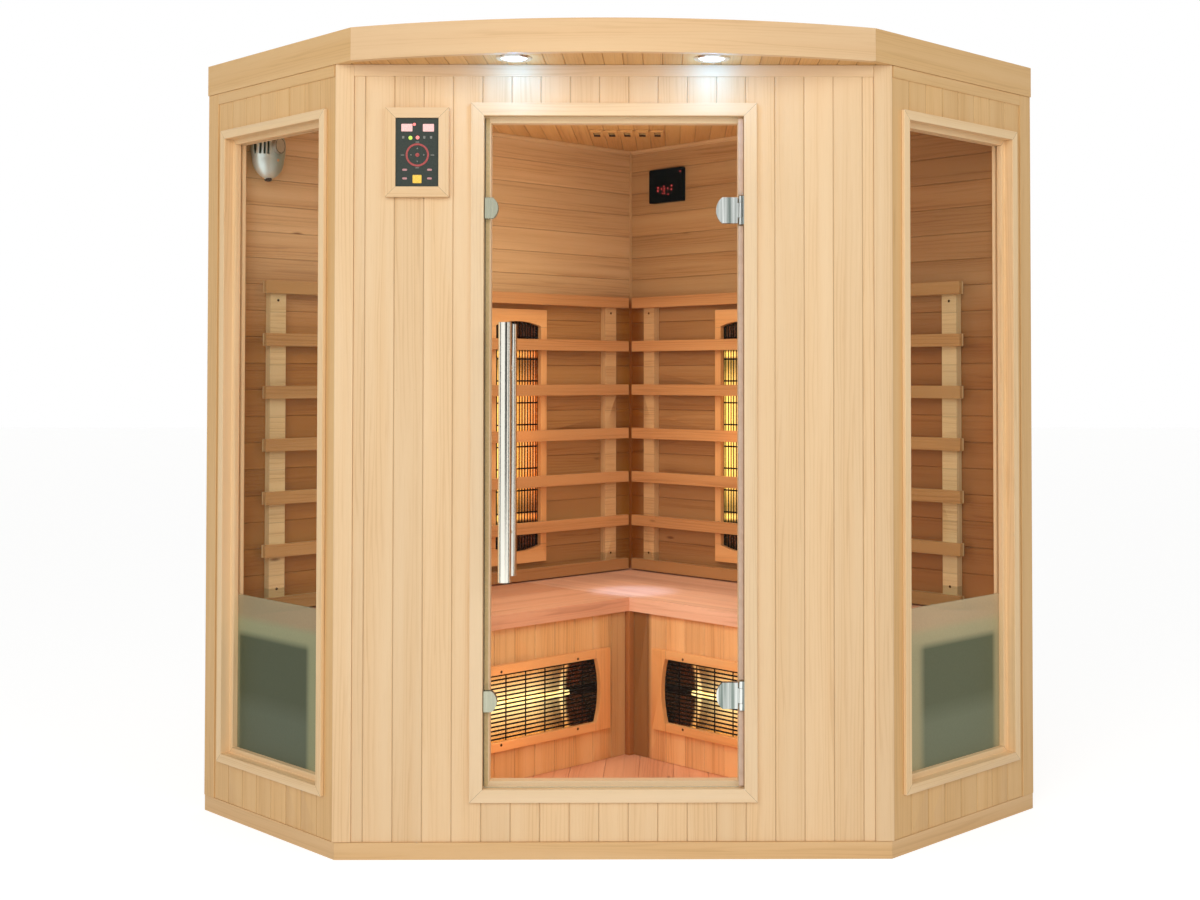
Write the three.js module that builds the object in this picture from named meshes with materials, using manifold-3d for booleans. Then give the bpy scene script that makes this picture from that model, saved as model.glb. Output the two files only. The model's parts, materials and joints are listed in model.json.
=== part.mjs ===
// A corner infrared sauna cabin: five timber walls on a floor, a bowed roof, a glass door,
// two windows, a corner bench with slatted backrests, and four quartz heaters behind grilles.
// Millimetres, +Z up, the door faces -Y, the origin is under the middle of the roof's outline.
import * as THREE from 'three';
import { mergeVertices } from 'three/addons/utils/BufferGeometryUtils.js';
import Module from 'manifold-3d';

const wasm = await Module();
wasm.setup();

// Driving dimensions of the cabin
const WALL_SIDE = 1490;
const SIDE_WALL_LENGTH = 584;
const WALL_THICKNESS = 45;
const ROOF_TOP = 1900;
const FASCIA_HEIGHT = 76;
const WALL_TOP = ROOF_TOP - FASCIA_HEIGHT;
const FIT = 0.3;

// Fineness of the round forms, and the distance at which two corners count as one
const ROUND_SIDES = 20;
const POST_SIDES = 16;
const ROD_SIDES = 12;
const TUBE_SIDES = 8;
const WIRE_SIDES = 4;
const ARC_STEPS = 28;
const BOW_STEPS = 10;
const OPENING_STEPS = 8;
const TROUGH_STEPS = 6;
const CURVE_STEPS = 4;
const CORNER_STEPS = 3;
const MERGE_DISTANCE = 1e-4;

// Boards, posts and trim
const BOARD_WIDTH = 67.5;
const GROOVE_WIDTH = 3.2;
const GROOVE_DEPTH = 2.2;
const POST_WIDTH = 40;
const STILE_WIDTH = 26;
const TRIM_PROUD = 3;
const TOP_RAIL_HEIGHT = 27;

// Floor and plinth
const PLINTH_HEIGHT = 39;
const PLINTH_THICKNESS = 14;
const PLINTH_PROUD_FRONT = 6;
const PLINTH_PROUD_SIDE = 2;
const FLOOR_TOP = 60;
const FLOOR_BOARD = 92;

// Roof
const ROOF_OVERHANG = 5;
const ROOF_CORNER_REACH = 47;
const ROOF_CROWN_REACH = 150;
const FASCIA_THICKNESS = 20;
const CEILING_THICKNESS = 18;
const CEILING_BOARD = 45;
const ROOF_COVER_THICKNESS = 8;
const ROOF_COVER_DROP = 8;

// Ceiling fittings
const SPOT_X = 224;
const SPOT_REACH = 78;
const SPOT_RADIUS = 42;
const SPOT_CAN_RADIUS = 35;
const SPOT_RIM = 3;
const SPOT_THROAT_RADIUS = 22;
const SPOT_CAN_HEIGHT = 30;
const SPOT_CLEARANCE = 1.5;
const VENT_Y = 1010;
const VENT_HOLES = 5;
const VENT_HOLE_WIDTH = 18;
const VENT_HOLE_LENGTH = 72;
const VENT_SIDE_RIM = 9;
const VENT_END_RIM = 24;
const VENT_PROUD = 6;
const VENT_PLATE = 3;
const LAMP_Y = 560;
const LAMP_RADIUS = 58;
const LAMP_DROP = 16;
const LAMP_RIM = 3;

// Door opening, casing and glass
const DOOR_WIDTH = 600;
const DOOR_BOTTOM = 159;
const DOOR_HEADER = 119;
const DOOR_TOP = WALL_TOP - DOOR_HEADER;
const CASING_WIDTH = 30;
const CASING_PROUD = 8;
const JAMB_THICKNESS = 14;
const STOP_WIDTH = 14;
const STOP_DEPTH = 16;
const GLASS_THICKNESS = 8;
const GLASS_RECESS = 2;
const GLASS_GAP = 3;
const HINGE_SIDE_GAP = 13;

// Door hardware
const HINGE_TOP_INSET = 218;
const HINGE_BOTTOM_INSET = 212;
const HINGE_PLATE_HEIGHT = 60;
const HINGE_PLATE_WIDTH = 50;
const HINGE_PLATE_BULGE = 14;
const HINGE_PLATE_INSET = 1.5;
const HARDWARE_THICKNESS = 4;
const BARREL_RADIUS = 5.5;
const BARREL_REACH = 7.5;
const BARREL_FORWARD = 1;
const BARREL_HEIGHT = 66;
const DOOR_KNUCKLE_HEIGHT = 34;
const PIN_RADIUS = 2.4;
const LEAF_THICKNESS = 2.2;
const CATCH_TOP_INSET = 213;
const CATCH_BOTTOM_INSET = 199;
const CATCH_HEIGHT = 48;
const CATCH_WIDTH = 30;
const CATCH_BULGE = 12;
const HANDLE_EDGE_DISTANCE = 52;
const HANDLE_BOTTOM = 638;
const HANDLE_TOP = 1226;
const HANDLE_RADIUS = 15;
const HANDLE_STANDOFF = 58.5;
const HANDLE_POST_INSET = 103;
const HANDLE_POST_RADIUS = 7;

// Windows in the side walls, measured along the wall from its front corner
const WINDOW_FROM = 62;
const WINDOW_TO = 496;
const WINDOW_BOTTOM = 158;
const WINDOW_HEADER = 120;
const WINDOW_TOP = WALL_TOP - WINDOW_HEADER;
const WINDOW_CASING = 22;
const WINDOW_PROUD = 9;
const WINDOW_LINING = 12;
const SASH_STEP = 13;
const SASH_DEPTH = 16;
const WINDOW_GLASS_DEPTH = 30;
const WINDOW_GLASS_THICKNESS = 6;

// Bench
const SEAT_TOP = 494;
const SEAT_THICKNESS = 38;
const SEAT_DEPTHS = { left: 485, right: 463 };
const SEAT_NOSING = 15;
const BENCH_FRONT_THICKNESS = 18;
const BENCH_BOARD = 70;
const CORNER_STRIP = 18;
const CLEAT_SIZE = 32;

// Backrests, measured along the back wall from the inner back corner
const SLAT_COUNT = 7;
const SLAT_FIRST = 515;
const SLAT_PITCH = 136.8;
const SLAT_HEIGHT = 33;
const SLAT_THICKNESS = 18;
const SLAT_FROM = 44;
const SLAT_ENDS = { left: 1329, right: 1286 };
const BACKREST_DEPTH = 38;
const UPRIGHT_WIDTH = 46;
const UPRIGHT_CORNER_INSET = 40;
const UPRIGHT_END_INSET = 20;
const SLAT_HOUSING = 3;

// Heater units
const HEATER_OPENING_LENGTH = 685;
const HEATER_OPENING_WIDTH = 172;
const HEATER_ARCH = 14;
const HEATER_BORDER_SIDE = 23;
const HEATER_BORDER_END = 36;
const HEATER_FRAME_PROUD = 15;
const HEATER_MARGIN = 10;
const GRILLE_WIRE = 4.6;
const GRILLE_WIRES = 16;
const GRILLE_CROSS_WIRES = 10;
const GRILLE_RIM = 4;
const REFLECTOR_DEPTH = 24;
const REFLECTOR_SHEET = 1.5;
const TUBE_RADIUS = 6.5;
const TUBE_DEPTH = 12;
const TUBE_CAP_RADIUS = 9;
const TUBE_CAP_LENGTH = 70;
const BACK_HEATER_PLACES = { left: 472, right: 495 };
const BACK_HEATER_Z = 926;
const CALF_HEATER_INSETS = { left: 86, right: 104 };
const CALF_HEATER_Z = 255;

// Control panel on the front wall, and the devices on the back walls
const CONTROL_X = -453.5;
const CONTROL_DROP = 204.5;
const CONTROL_WIDTH = 147;
const CONTROL_HEIGHT = 207;
const CONTROL_BORDER = 24;
const CONTROL_PROUD = 13;
const CONTROL_PANEL_THICKNESS = 9;
const MEDIA_FROM = 101;
const MEDIA_WIDTH = 145;
const MEDIA_DROP = 176;
const MEDIA_HEIGHT = 105;
const MEDIA_PROUD = 16;
const MEDIA_CORNER = 4;
const IONIZER_T = 1324;
const IONIZER_DROP = 212;
const IONIZER_BELLY = 77;
const IONIZER_CROWN = 62;
const IONIZER_RADIUS = 48;
const IONIZER_DEPTH = 66;
const IONIZER_TIP = 9;
const IONIZER_STEPS = 9;
const IONIZER_SLOTS = 4;
const IONIZER_SLOT_FROM = 14;
const IONIZER_SLOT_PITCH = 9;
const IONIZER_SLOT_WIDTH = 5.5;
const IONIZER_SLOT_FLOOR = 38;
const IONIZER_SLOT_BELOW = 23;
const IONIZER_SLOT_ABOVE = 27;
const BUTTON_RISE = 87;
const BUTTON_RADIUS = 21;
const BUTTON_LENGTH = 13;
const BUTTON_PROUD = 5;
const BUTTON_TRAVEL_SPACE = 3;
const BUTTON_TURN = THREE.MathUtils.degToRad(23);

// Places that follow from the driving dimensions
const ROOT_HALF = Math.SQRT1_2;
const SIDE_CORNER_X = WALL_SIDE * ROOT_HALF;
const FRONT_HALF = (WALL_SIDE - SIDE_WALL_LENGTH) * ROOT_HALF;
const BACK_CORNER_Y = (WALL_SIDE + SIDE_WALL_LENGTH) * ROOT_HALF;
const INNER_CORNER_Y = BACK_CORNER_Y - WALL_THICKNESS * Math.SQRT2;
const BACK_LENGTH = WALL_SIDE - 2 * WALL_THICKNESS;
const ROOF_BACK_Y = BACK_CORNER_Y + ROOF_OVERHANG * Math.SQRT2;
const CENTRE_Y = (ROOF_BACK_Y - ROOF_CROWN_REACH) / 2;
const MITRE = Math.tan(Math.PI / 8);
const CONTROL_Z = WALL_TOP - CONTROL_DROP;
const MEDIA_BOTTOM = WALL_TOP - MEDIA_DROP;
const IONIZER_BOTTOM = WALL_TOP - IONIZER_DROP;
const GLASS_BACK = GLASS_RECESS + GLASS_THICKNESS;
const GLASS_LEFT = -DOOR_WIDTH / 2 + GLASS_GAP;
const GLASS_RIGHT = DOOR_WIDTH / 2 - HINGE_SIDE_GAP;
const HANDLE_X = GLASS_LEFT + HANDLE_EDGE_DISTANCE;
const HINGE_X = DOOR_WIDTH / 2 - BARREL_REACH;
const HINGE_Y = -BARREL_FORWARD;
const HINGE_HEIGHTS = { upper: DOOR_TOP - HINGE_TOP_INSET, lower: DOOR_BOTTOM + HINGE_BOTTOM_INSET };
const CATCH_HEIGHTS = { upper: DOOR_TOP - CATCH_TOP_INSET, lower: DOOR_BOTTOM + CATCH_BOTTOM_INSET };
const BENCH_FACES = { left: SEAT_DEPTHS.left - SEAT_NOSING, right: SEAT_DEPTHS.right - SEAT_NOSING };
const OTHER = { left: 'right', right: 'left' };
const SEAT_UNDERSIDE = SEAT_TOP - SEAT_THICKNESS;
const HEATER_FRAME_LENGTH = HEATER_OPENING_LENGTH + 2 * HEATER_BORDER_END;
const HEATER_FRAME_WIDTH = HEATER_OPENING_WIDTH + 2 * HEATER_BORDER_SIDE;
const HEATER_HOLE_LENGTH = HEATER_OPENING_LENGTH + 2 * HEATER_MARGIN;
const HEATER_HOLE_WIDTH = HEATER_OPENING_WIDTH + 2 * HEATER_MARGIN;
const GRILLE_DEPTH = 2 * GRILLE_WIRE + FIT;
const HEATER_RECESS = GRILLE_DEPTH + REFLECTOR_DEPTH + 3 * FIT;
const CEILING_PITCH = (2 * SIDE_CORNER_X) / Math.round((2 * SIDE_CORNER_X) / CEILING_BOARD);

// Solids: conversion to and from the boolean library, and the operations on geometries
function toSolid(geometry) {
  const bare = geometry.clone();
  bare.deleteAttribute('normal');
  bare.deleteAttribute('uv');
  const merged = mergeVertices(bare, MERGE_DISTANCE);
  return new wasm.Manifold(new wasm.Mesh({
    numProp: 3,
    vertProperties: new Float32Array(merged.attributes.position.array),
    triVerts: new Uint32Array(merged.index.array),
  }));
}

function toGeometry(solid) {
  const mesh = solid.getMesh();
  const geometry = new THREE.BufferGeometry();
  geometry.setAttribute('position', new THREE.BufferAttribute(mesh.vertProperties, 3));
  geometry.setIndex(new THREE.BufferAttribute(mesh.triVerts, 1));
  const faceted = geometry.toNonIndexed();
  faceted.computeVertexNormals();
  return faceted;
}

function combine(operation, first, others) {
  const start = toSolid(first);
  return toGeometry(others.reduce((solid, geometry) => solid[operation](toSolid(geometry)), start));
}

const join = (first, ...others) => combine('add', first, others);
const cut = (first, ...others) => combine('subtract', first, others);
const common = (first, ...others) => combine('intersect', first, others);

// Basic forms
function box(x0, x1, y0, y1, z0, z1) {
  const geometry = new THREE.BoxGeometry(x1 - x0, y1 - y0, z1 - z0);
  return geometry.translate((x0 + x1) / 2, (y0 + y1) / 2, (z0 + z1) / 2);
}

function shapeOf(points) {
  return new THREE.Shape(points.map(([x, y]) => new THREE.Vector2(x, y)));
}

function extrude(shape, from, to) {
  const settings = { depth: to - from, bevelEnabled: false, curveSegments: CURVE_STEPS };
  return new THREE.ExtrudeGeometry(shape, settings).translate(0, 0, from);
}

const prism = (points, z0, z1) => extrude(shapeOf(points), z0, z1);

// A profile in the X-Z plane, carried along Y from y0 to y1
function alongY(shape, y0, y1) {
  return extrude(shape, -y1, -y0).rotateX(Math.PI / 2);
}

// A profile in the Y-Z plane, carried along X from x0 to x1
function alongX(shape, x0, x1) {
  const turn = new THREE.Matrix4().makeBasis(
    new THREE.Vector3(0, 1, 0),
    new THREE.Vector3(0, 0, 1),
    new THREE.Vector3(1, 0, 0),
  );
  return extrude(shape, x0, x1).applyMatrix4(turn);
}

function rod(radius, length, sides = ROD_SIDES) {
  return new THREE.CylinderGeometry(radius, radius, length, sides);
}

const uprightRod = (radius, length, sides) => rod(radius, length, sides).rotateX(Math.PI / 2);

// A face of tongue-and-groove boards: points from a to b at the level, with a V at each joint
function boardFace(a, b, level, into, width, margin = 0) {
  const sign = Math.sign(b - a);
  const span = Math.abs(b - a) - 2 * margin;
  const count = Math.max(1, Math.round(span / width));
  const points = [[a, level]];
  for (let i = margin > 0 ? 0 : 1; i <= (margin > 0 ? count : count - 1); i += 1) {
    const joint = a + sign * (margin + (span * i) / count);
    points.push([joint - (sign * GROOVE_WIDTH) / 2, level]);
    points.push([joint, level + into * GROOVE_DEPTH]);
    points.push([joint + (sign * GROOVE_WIDTH) / 2, level]);
  }
  points.push([b, level]);
  return points;
}

// The cabin's plan: a square with its front corner cut off, set out by offsets of its faces
function planOutline(front, side) {
  const window = FRONT_HALF + side * Math.SQRT2;
  const back = BACK_CORNER_Y + side * Math.SQRT2;
  const half = [
    [window - front, -front],
    [(window + back) / 2, (back - window) / 2],
  ];
  const mirrored = half.map(([x, y]) => [-x, y]).reverse();
  return [...half, [0, back], ...mirrored];
}

// The roof's plan has the same straight sides, and a bowed front
const ROOF_LINE = FRONT_HALF + ROOF_OVERHANG * Math.SQRT2;
const ROOF_CORNER_X = ROOF_LINE - ROOF_CORNER_REACH;
const ROOF_BOW = ROOF_CROWN_REACH - ROOF_CORNER_REACH;
const BOW_RADIUS = (ROOF_CORNER_X ** 2 + ROOF_BOW ** 2) / (2 * ROOF_BOW);
const BOW_CENTRE_Y = BOW_RADIUS - ROOF_CROWN_REACH;

function roofFrontCorner(inset) {
  const line = ROOF_LINE - inset * Math.SQRT2;
  const radius = BOW_RADIUS - inset;
  const half = (line - BOW_CENTRE_Y) / 2;
  const rest = (line ** 2 + BOW_CENTRE_Y ** 2 - radius ** 2) / 2;
  const y = -half - Math.sqrt(half ** 2 - rest);
  return [y + line, y];
}

function bowedFront(inset, halfWidth) {
  const radius = BOW_RADIUS - inset;
  const limit = Math.asin(halfWidth / radius);
  return Array.from({ length: ARC_STEPS + 1 }, (_, i) => {
    const angle = limit * ((2 * i) / ARC_STEPS - 1);
    return [radius * Math.sin(angle), BOW_CENTRE_Y - radius * Math.cos(angle)];
  });
}

function roofSides(inset) {
  const line = ROOF_LINE - inset * Math.SQRT2;
  const back = ROOF_BACK_Y - inset * Math.SQRT2;
  const corner = roofFrontCorner(inset);
  const sideCorner = [(line + back) / 2, (back - line) / 2];
  const left = [[-sideCorner[0], sideCorner[1]], [-corner[0], corner[1]]];
  return [corner, sideCorner, [0, back], ...left];
}

function roofOutline(inset) {
  return [...bowedFront(inset, roofFrontCorner(inset)[0]), ...roofSides(inset).slice(1, -1)];
}

// Materials
function finish(color, roughness, metalness = 0) {
  return () => new THREE.MeshStandardMaterial({ color, roughness, metalness });
}

const paleWood = finish(0xe6c795, 0.6);
const warmWood = finish(0xc98d55, 0.6);
const steel = finish(0xc2c4c2, 0.25, 1);
const chrome = finish(0xdfe3e2, 0.12, 1);
const blackWire = finish(0x1b1512, 0.5, 0.4);
const reflectorMetal = finish(0xd8c49a, 0.25, 1);
const blackPlastic = finish(0x202726, 0.35);
const silverPlastic = finish(0xb8b8b2, 0.3, 0.6);
const lampWhite = finish(0xf4f2ea, 0.4);

function glass() {
  const color = 0xdfe8e0;
  return new THREE.MeshStandardMaterial({ color, roughness: 0.05, transparent: true, opacity: 0.3 });
}

function quartz() {
  const settings = { color: 0xffd27a, roughness: 0.3, emissive: 0xff9a2c, emissiveIntensity: 0.6 };
  return new THREE.MeshStandardMaterial(settings);
}

// The scene graph: the right-hand half is the left-hand half in a mirrored group
const part = new THREE.Group();
const cabin = new THREE.Group();
cabin.position.y = -CENTRE_Y;
part.add(cabin);

function add(group, name, geometry, material) {
  const mesh = new THREE.Mesh(geometry, material());
  mesh.name = name;
  group.add(mesh);
  return mesh;
}

function makeSide(mirror) {
  const side = new THREE.Group();
  side.scale.x = mirror;
  // Along the side wall: X runs from its rear end to its front corner, Y goes into the room
  const windowBay = new THREE.Group();
  windowBay.position.set(-FRONT_HALF, 0, 0);
  windowBay.rotation.z = -Math.PI / 4;
  // Along the back wall: X runs from the inner back corner, Y goes into the room
  const backBay = new THREE.Group();
  backBay.position.set(0, INNER_CORNER_Y, 0);
  backBay.rotation.z = (-3 * Math.PI) / 4;
  side.add(windowBay, backBay);
  cabin.add(side);
  return { side, windowBay, backBay };
}

const sides = { left: makeSide(1), right: makeSide(-1) };

// Floor: a base slab with a raised field of boards between the walls, and its plinth
const slab = planOutline(PLINTH_PROUD_FRONT - PLINTH_THICKNESS, PLINTH_PROUD_SIDE - PLINTH_THICKNESS);
const room = planOutline(-WALL_THICKNESS - FIT, -WALL_THICKNESS - FIT);
const floorProfile = shapeOf([
  [-SIDE_CORNER_X, 0],
  ...boardFace(-SIDE_CORNER_X, SIDE_CORNER_X, FLOOR_TOP, -1, FLOOR_BOARD),
  [SIDE_CORNER_X, 0],
]);
add(cabin, 'floor_panel', common(
  join(prism(slab, 0, PLINTH_HEIGHT - FIT), prism(room, 0, FLOOR_TOP)),
  alongY(floorProfile, -WALL_SIDE, 2 * WALL_SIDE),
), warmWood);

const plinthInside = planOutline(
  PLINTH_PROUD_FRONT - PLINTH_THICKNESS + FIT,
  PLINTH_PROUD_SIDE - PLINTH_THICKNESS + FIT,
);
const plinthShape = shapeOf(planOutline(PLINTH_PROUD_FRONT, PLINTH_PROUD_SIDE));
plinthShape.holes.push(new THREE.Path(shapeOf(plinthInside).getPoints()));
add(cabin, 'plinth', extrude(plinthShape, 0, PLINTH_HEIGHT - FIT), paleWood);

// Front wall with its door hole and top rail
const frontWallHalf = FRONT_HALF - POST_WIDTH - FIT;
const casingHole = DOOR_WIDTH / 2 + JAMB_THICKNESS + FIT;
const frontField = prism([
  ...boardFace(-frontWallHalf, frontWallHalf, 0, 1, BOARD_WIDTH, STILE_WIDTH),
  ...boardFace(frontWallHalf, -frontWallHalf, WALL_THICKNESS, -1, BOARD_WIDTH, STILE_WIDTH),
], PLINTH_HEIGHT, WALL_TOP);
const frontRail = box(-frontWallHalf, frontWallHalf, -TRIM_PROUD, GROOVE_DEPTH + FIT,
  WALL_TOP - TOP_RAIL_HEIGHT, WALL_TOP);
const doorHole = box(-casingHole, casingHole, -WALL_THICKNESS, 2 * WALL_THICKNESS,
  DOOR_BOTTOM - JAMB_THICKNESS - FIT, DOOR_TOP + JAMB_THICKNESS + FIT);
add(cabin, 'front_wall', cut(join(frontField, frontRail), doorHole), paleWood);

// Door casing: an architrave on the wall, a lining through it, and a stop behind the glass
const doorHalf = DOOR_WIDTH / 2;
function doorFrameBox(grow, y0, y1) {
  return box(-doorHalf - grow, doorHalf + grow, y0, y1, DOOR_BOTTOM - grow, DOOR_TOP + grow);
}
add(cabin, 'door_casing', cut(
  join(
    doorFrameBox(CASING_WIDTH, -CASING_PROUD, -FIT),
    doorFrameBox(JAMB_THICKNESS, -CASING_PROUD, WALL_THICKNESS),
  ),
  doorFrameBox(0, -2 * CASING_PROUD, STOP_DEPTH),
  doorFrameBox(-STOP_WIDTH, 0, 2 * WALL_THICKNESS),
), paleWood);

// Walls, trim and windows of each side
const bayFront = FIT + TRIM_PROUD;
const bayRear = SIDE_WALL_LENGTH - WALL_THICKNESS - FIT;
const mitreShift = WALL_THICKNESS * MITRE;

function windowBox(grow, y0, y1) {
  return box(-WINDOW_TO - grow, -WINDOW_FROM + grow, y0, y1, WINDOW_BOTTOM - grow, WINDOW_TOP + grow);
}

function windowWall() {
  const inner = boardFace(-bayFront - mitreShift, -bayRear, WALL_THICKNESS, -1, BOARD_WIDTH);
  const field = prism([
    ...boardFace(-bayRear, -bayFront, 0, 1, BOARD_WIDTH),
    ...inner,
  ], PLINTH_HEIGHT, WALL_TOP);
  const rail = box(-bayRear, -bayFront - TRIM_PROUD, -TRIM_PROUD, GROOVE_DEPTH + FIT,
    WALL_TOP - TOP_RAIL_HEIGHT, WALL_TOP);
  return cut(join(field, rail), windowBox(WINDOW_LINING + FIT, -WALL_THICKNESS, 2 * WALL_THICKNESS));
}

function windowFrame() {
  const glassEnd = WINDOW_GLASS_DEPTH + WINDOW_GLASS_THICKNESS + 2 * FIT;
  return cut(
    join(
      windowBox(WINDOW_CASING, -WINDOW_PROUD, -FIT),
      windowBox(WINDOW_LINING, -WINDOW_PROUD, WALL_THICKNESS),
    ),
    windowBox(0, -2 * WINDOW_PROUD, SASH_DEPTH),
    windowBox(-SASH_STEP, 0, 2 * WALL_THICKNESS),
    windowBox(FIT, WINDOW_GLASS_DEPTH, glassEnd),
  );
}

function frontPost() {
  const side = FRONT_HALF + TRIM_PROUD * Math.SQRT2;
  const along = bayFront - FIT;
  const bayPoint = (s, y) => [-FRONT_HALF - (s - y) * ROOT_HALF, (s + y) * ROOT_HALF];
  return prism([
    [-FRONT_HALF + POST_WIDTH, -TRIM_PROUD],
    [-side + TRIM_PROUD, -TRIM_PROUD],
    bayPoint(along - TRIM_PROUD * MITRE, -TRIM_PROUD),
    bayPoint(along + mitreShift, WALL_THICKNESS),
    [-FRONT_HALF + mitreShift, WALL_THICKNESS],
    [-FRONT_HALF + POST_WIDTH, WALL_THICKNESS],
  ], PLINTH_HEIGHT, WALL_TOP);
}

function cornerPost() {
  const far = SIDE_WALL_LENGTH + TRIM_PROUD;
  const near = SIDE_WALL_LENGTH - WALL_THICKNESS;
  return box(-far, -near, -TRIM_PROUD, WALL_THICKNESS - FIT, PLINTH_HEIGHT, WALL_TOP);
}

function backWall(heaterT) {
  const plan = prism([
    ...boardFace(-WALL_THICKNESS + FIT, BACK_LENGTH, -WALL_THICKNESS, 1, BOARD_WIDTH),
    [BACK_LENGTH, WALL_THICKNESS],
    [WALL_THICKNESS + FIT, WALL_THICKNESS],
  ], PLINTH_HEIGHT, WALL_TOP);
  const boards = boardFace(PLINTH_HEIGHT, WALL_TOP, 0, -1, BOARD_WIDTH).map(([z, y]) => [y, z]);
  const section = shapeOf([
    ...boards,
    [-2 * WALL_THICKNESS, WALL_TOP],
    [-2 * WALL_THICKNESS, PLINTH_HEIGHT],
  ]);
  const panel = common(plan, alongX(section, -2 * WALL_THICKNESS, 2 * BACK_LENGTH));
  const recess = box(
    heaterT - HEATER_HOLE_WIDTH / 2,
    heaterT + HEATER_HOLE_WIDTH / 2,
    -HEATER_RECESS,
    WALL_THICKNESS,
    BACK_HEATER_Z - HEATER_HOLE_LENGTH / 2,
    BACK_HEATER_Z + HEATER_HOLE_LENGTH / 2,
  );
  const cleat = box(CLEAT_SIZE + 2 * FIT, BACK_LENGTH - CLEAT_SIZE, -GROOVE_DEPTH - FIT, CLEAT_SIZE,
    SEAT_UNDERSIDE - FIT - CLEAT_SIZE, SEAT_UNDERSIDE - FIT);
  return join(cut(panel, recess), cleat);
}

for (const [name, { side, windowBay, backBay }] of Object.entries(sides)) {
  add(side, `${name}_front_post`, frontPost(), paleWood);
  add(windowBay, `${name}_window_wall`, windowWall(), paleWood);
  add(windowBay, `${name}_window_frame`, windowFrame(), paleWood);
  add(windowBay, `${name}_window_glass`, windowBox(
    0,
    WINDOW_GLASS_DEPTH + FIT,
    WINDOW_GLASS_DEPTH + FIT + WINDOW_GLASS_THICKNESS,
  ), glass);
  add(windowBay, `${name}_corner_post`, cornerPost(), paleWood);
  add(backBay, `back_${name}_wall`, backWall(BACK_HEATER_PLACES[name]), warmWood);
}

// Roof: a ceiling of boards, a bowed front fascia, a rim on the other sides, and a cover
const ceilingTop = WALL_TOP + CEILING_THICKNESS;
const insideFascia = roofOutline(FASCIA_THICKNESS + FIT);
const ceilingProfile = shapeOf([
  [-SIDE_CORNER_X, ceilingTop],
  ...boardFace(-SIDE_CORNER_X, SIDE_CORNER_X, WALL_TOP + FIT, 1, CEILING_BOARD),
  [SIDE_CORNER_X, ceilingTop],
]);
const spotHoles = [-SPOT_X, SPOT_X].map((x) => (
  uprightRod(SPOT_CAN_RADIUS + SPOT_CLEARANCE, 4 * CEILING_THICKNESS, ROUND_SIDES)
    .translate(x, -SPOT_REACH, WALL_TOP)
));
const ventSlotHalf = ((VENT_HOLES - 1) * CEILING_PITCH + VENT_HOLE_WIDTH) / 2;
const ventSlotReach = VENT_HOLE_LENGTH / 2;
const ventSlot = box(-ventSlotHalf, ventSlotHalf, VENT_Y - ventSlotReach, VENT_Y + ventSlotReach,
  WALL_TOP - CEILING_THICKNESS, ceilingTop + CEILING_THICKNESS);
add(cabin, 'ceiling_panel', cut(
  common(
    prism(insideFascia, WALL_TOP + FIT, ceilingTop),
    alongY(ceilingProfile, -WALL_SIDE, 2 * WALL_SIDE),
  ),
  ...spotHoles,
  ventSlot,
), warmWood);

const outerCorner = roofFrontCorner(0);
const innerCorner = roofFrontCorner(FASCIA_THICKNESS);
add(cabin, 'roof_front_fascia', prism([
  ...bowedFront(0, outerCorner[0] - 2 * FIT),
  ...bowedFront(FASCIA_THICKNESS, innerCorner[0] - 2 * FIT).reverse(),
], WALL_TOP + FIT, ROOF_TOP), paleWood);
add(cabin, 'roof_rim', prism([
  ...roofSides(0),
  ...roofSides(FASCIA_THICKNESS).reverse(),
], WALL_TOP + FIT, ROOF_TOP), paleWood);
const coverTop = ROOF_TOP - ROOF_COVER_DROP;
add(cabin, 'roof_cover', prism(insideFascia, coverTop - ROOF_COVER_THICKNESS, coverTop), paleWood);

// Ceiling vent: a plate with one slotted collar on each of five boards, open through to the roof space
const ventCollars = [];
const ventHoles = [];
for (let i = 0; i < VENT_HOLES; i += 1) {
  const x = (i - (VENT_HOLES - 1) / 2) * CEILING_PITCH;
  const ventBox = (sideRim, endRim, z0, z1) => {
    const [half, reach] = [VENT_HOLE_WIDTH / 2 + sideRim, ventSlotReach + endRim];
    return box(x - half, x + half, VENT_Y - reach, VENT_Y + reach, z0, z1);
  };
  ventCollars.push(ventBox(VENT_SIDE_RIM, VENT_END_RIM, WALL_TOP - VENT_PROUD, WALL_TOP - FIT));
  ventHoles.push(ventBox(0, 0, WALL_TOP - 2 * VENT_PROUD, WALL_TOP + VENT_PROUD));
}
const ventPlateHalf = ventSlotHalf + VENT_SIDE_RIM;
const ventPlateReach = ventSlotReach + VENT_SIDE_RIM;
const ventPlate = box(-ventPlateHalf, ventPlateHalf, VENT_Y - ventPlateReach, VENT_Y + ventPlateReach,
  WALL_TOP - VENT_PLATE, WALL_TOP - FIT);
add(cabin, 'ceiling_vent', cut(join(ventPlate, ...ventCollars), ...ventHoles), warmWood);

// Round fittings turned about a vertical axis
function turned(profile, steps) {
  const points = profile.map(([r, z]) => new THREE.Vector2(r, z));
  return new THREE.LatheGeometry(points, steps).rotateX(Math.PI / 2);
}

function spotlight() {
  const face = WALL_TOP - SPOT_RIM;
  const mouth = SPOT_CAN_RADIUS - SPOT_RIM;
  const bottom = WALL_TOP + CEILING_THICKNESS / 2;
  return turned([
    [0, bottom],
    [SPOT_THROAT_RADIUS, bottom],
    [mouth, face],
    [SPOT_RADIUS - SPOT_RIM, face],
    [SPOT_RADIUS, WALL_TOP - FIT],
    [SPOT_CAN_RADIUS, WALL_TOP - FIT],
    [SPOT_CAN_RADIUS, WALL_TOP + SPOT_CAN_HEIGHT],
    [0, WALL_TOP + SPOT_CAN_HEIGHT],
  ], ROUND_SIDES);
}

for (const [name, mirror] of [['left', -1], ['right', 1]]) {
  add(cabin, `${name}_spotlight`, spotlight(), chrome).position.set(mirror * SPOT_X, -SPOT_REACH, 0);
}

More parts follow.
